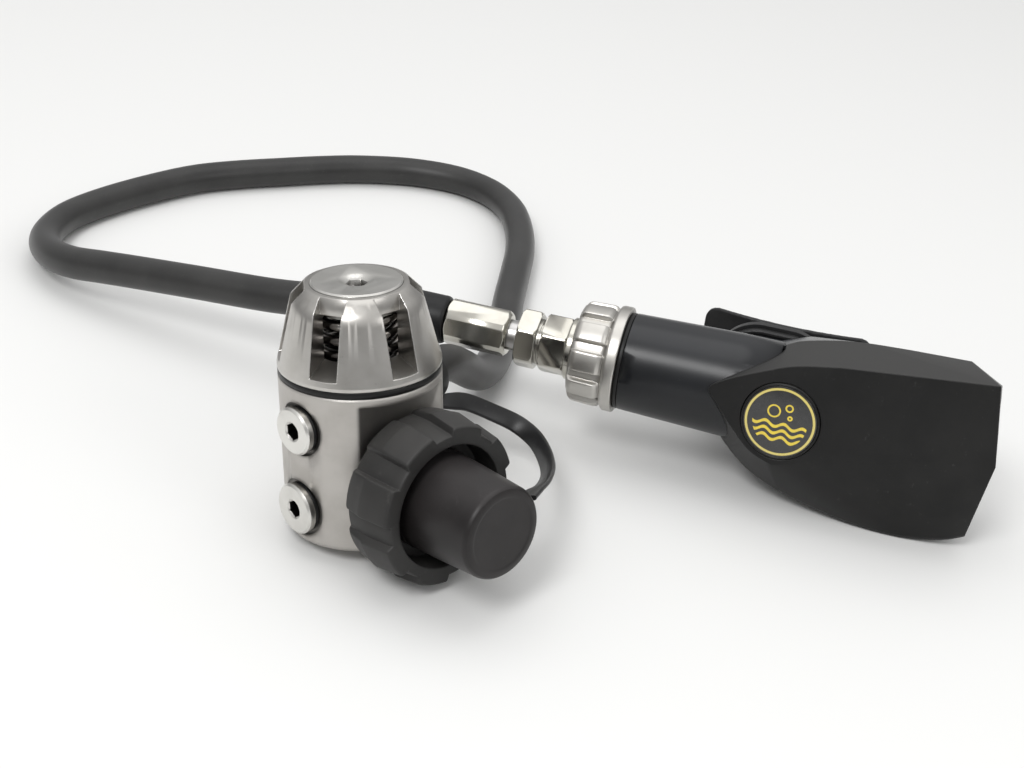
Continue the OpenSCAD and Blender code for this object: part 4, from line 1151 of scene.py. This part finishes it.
def badgeMaterial():
    material, shader = startMaterial("badgePrint", 0.0, IOR=1.5, Coat_Weight=0.6, Coat_Roughness=0.12)
    point = localPoint(material, badgeAt)
    split = addNode(material, "ShaderNodeSeparateXYZ", None, Vector=point)
    x, y = split.outputs[0], split.outputs[1]
    flat = addNode(material, "ShaderNodeCombineXYZ", None, X=x, Y=y).outputs[0]
    radius = vectorNode(material, "LENGTH", "Value", flat)

    def band(value, low, high, soft=0.12 * mm):
        rising = rampNode(material, value, low - soft, low + soft)
        falling = rampNode(material, value, high - soft, high + soft, 1.0, 0.0)
        return times(material, rising, falling)

    ring = band(radius, 11.1 * mm, 11.9 * mm)
    waveInput = times(material, x, 2 * math.pi / (6.4 * mm))
    swing = times(material, mathNode(material, "SINE", waveInput), 0.75 * mm)
    level = mathNode(material, "SUBTRACT", y, swing)
    inside = rampNode(material, radius, 9.2 * mm, 9.4 * mm, 1.0, 0.0)
    waves = None
    for height in (-1.2, -3.6, -6.0):
        stripe = band(level, (height - 0.55) * mm, (height + 0.55) * mm)
        waves = stripe if waves is None else mathNode(material, "MAXIMUM", waves, stripe)
    waves = times(material, waves, inside)
    bubbles = None
    for bx, by, size in ((-2.6, 3.4, 2.3), (2.3, 5.4, 1.4), (3.1, 2.0, 0.9)):
        shifted = vectorNode(material, "SUBTRACT", 0, flat, (bx * mm, by * mm, 0))
        distance = vectorNode(material, "LENGTH", "Value", shifted)
        bubble = band(distance, (size - 0.55) * mm, size * mm, 0.1 * mm)
        bubbles = bubble if bubbles is None else mathNode(material, "MAXIMUM", bubbles, bubble)
    printed = mathNode(material, "MAXIMUM", mathNode(material, "MAXIMUM", ring, waves), bubbles)
    rubbed = rampNode(material, noiseAt(material, point, 900, 5, 0.7), 0.62, 0.8, 1.0, 0.72)
    printed = times(material, printed, rubbed)
    mottle = rampNode(material, noiseAt(material, point, 500, 3), 0.3, 0.7)
    yellow = mixColors(material, mottle, (0.80, 0.60, 0.035), (0.70, 0.53, 0.05))
    black = mixColors(material, mottle, (0.012, 0.012, 0.012), (0.02, 0.02, 0.02))
    paleRing = mixColors(material, ring, yellow, (0.66, 0.55, 0.16))
    connect(material, mixColors(material, printed, black, paleRing), shader.inputs["Base Color"])
    connect(material, rampNode(material, noiseAt(material, point, 300, 4), 0.2, 0.8, 0.22, 0.34),
        shader.inputs["Roughness"])
    connect(material, bumpNode(material, printed, 0.4, 0.04 * mm), shader.inputs["Normal"])
    return material


def makeBadge():
    materials["badgePrint"] = badgeMaterial()
    addPiece("purgeButton", softenEdges(spunShape(badge["button"], 128), 0.12, 40), badgeAt, "purge",
        "coverPlastic", ("purge_button",), 30, "button_plastic")
    addPiece("purgeBadge", spunShape(badge["disc"], 128), badgeAt, "purge", "badgePrint", ("purge_badge",),
        30)


makeCover()
print("cover made")
makeSeals()
makeDiaphragms()
makeSprings()
print("seals, diaphragms and springs made")
makeWheel()
makeRetainingNut()
makeThread()
makeCap()
makeStrap()
print("wheel, nut, thread, cap and strap made")
makeBadge()
makeMouthpiece()
print("badge and mouthpiece made")


# Lamps and floor

studio = {
    "overhead": 0.85, "horizon": 0.30, "below": 0.28,
    "floorColor": (0.80, 0.80, 0.79),
    "lamps": {
        "keyLamp": {"at": (-0.38, -0.78, 1.15), "aim": (0.02, 0.05, 0.02), "size": 0.5, "power": 8.0},
        "fillLamp": {"at": (0.95, -0.55, 0.75), "aim": (0.03, 0.05, 0.02), "size": 0.6, "power": 2.0},
        "topLamp": {"at": (0.0, 0.35, 1.25), "aim": (0.02, 0.08, 0.0), "size": 1.1, "power": 3.2},
    },
    "tableHeight": -3.6,
}


def makeStudio():
    world = bpy.data.worlds.new("studioWorld")
    world.use_nodes = True
    background = world.node_tree.nodes["Background"]
    background.inputs["Color"].default_value = (1, 1, 1, 1)
    height = addNode(world, "ShaderNodeSeparateXYZ", None,
        Vector=addNode(world, "ShaderNodeTexCoord").outputs["Generated"]).outputs[2]
    upper = rampNode(world, height, 0.05, 0.75, studio["horizon"], studio["overhead"])
    lower = rampNode(world, height, -0.4, 0.0, studio["below"] - studio["horizon"], 0.0)
    connect(world, mathNode(world, "ADD", upper, lower), background.inputs["Strength"])
    scene.world = world
    for name, lamp in studio["lamps"].items():
        data = bpy.data.lights.new(name, "AREA")
        data.shape, data.size, data.energy = "DISK", lamp["size"], lamp["power"]
        light = bpy.data.objects.new(name, data)
        scene.collection.objects.link(light)
        light.location = lamp["at"]
        light.rotation_euler = (Vector(lamp["aim"]) - Vector(lamp["at"])).to_track_quat("-Z",
            "Y").to_euler()
    bm = bmesh.new()
    bmesh.ops.create_grid(bm, x_segments=1, y_segments=1, size=4)
    bmesh.ops.translate(bm, verts=bm.verts, vec=(0, 0, studio["tableHeight"] * mm))
    mesh = bpy.data.meshes.new("floor")
    bm.to_mesh(mesh)
    bm.free()
    floor = bpy.data.objects.new("floor", mesh)
    scene.collection.objects.link(floor)
    material, shader = startMaterial("floorPaper")
    shader.inputs["Base Color"].default_value = (*studio["floorColor"], 1)
    shader.inputs["Roughness"].default_value = 0.8
    mesh.materials.append(material)
    scene.view_settings.view_transform = "Standard"


makeStudio()
print("studio made")
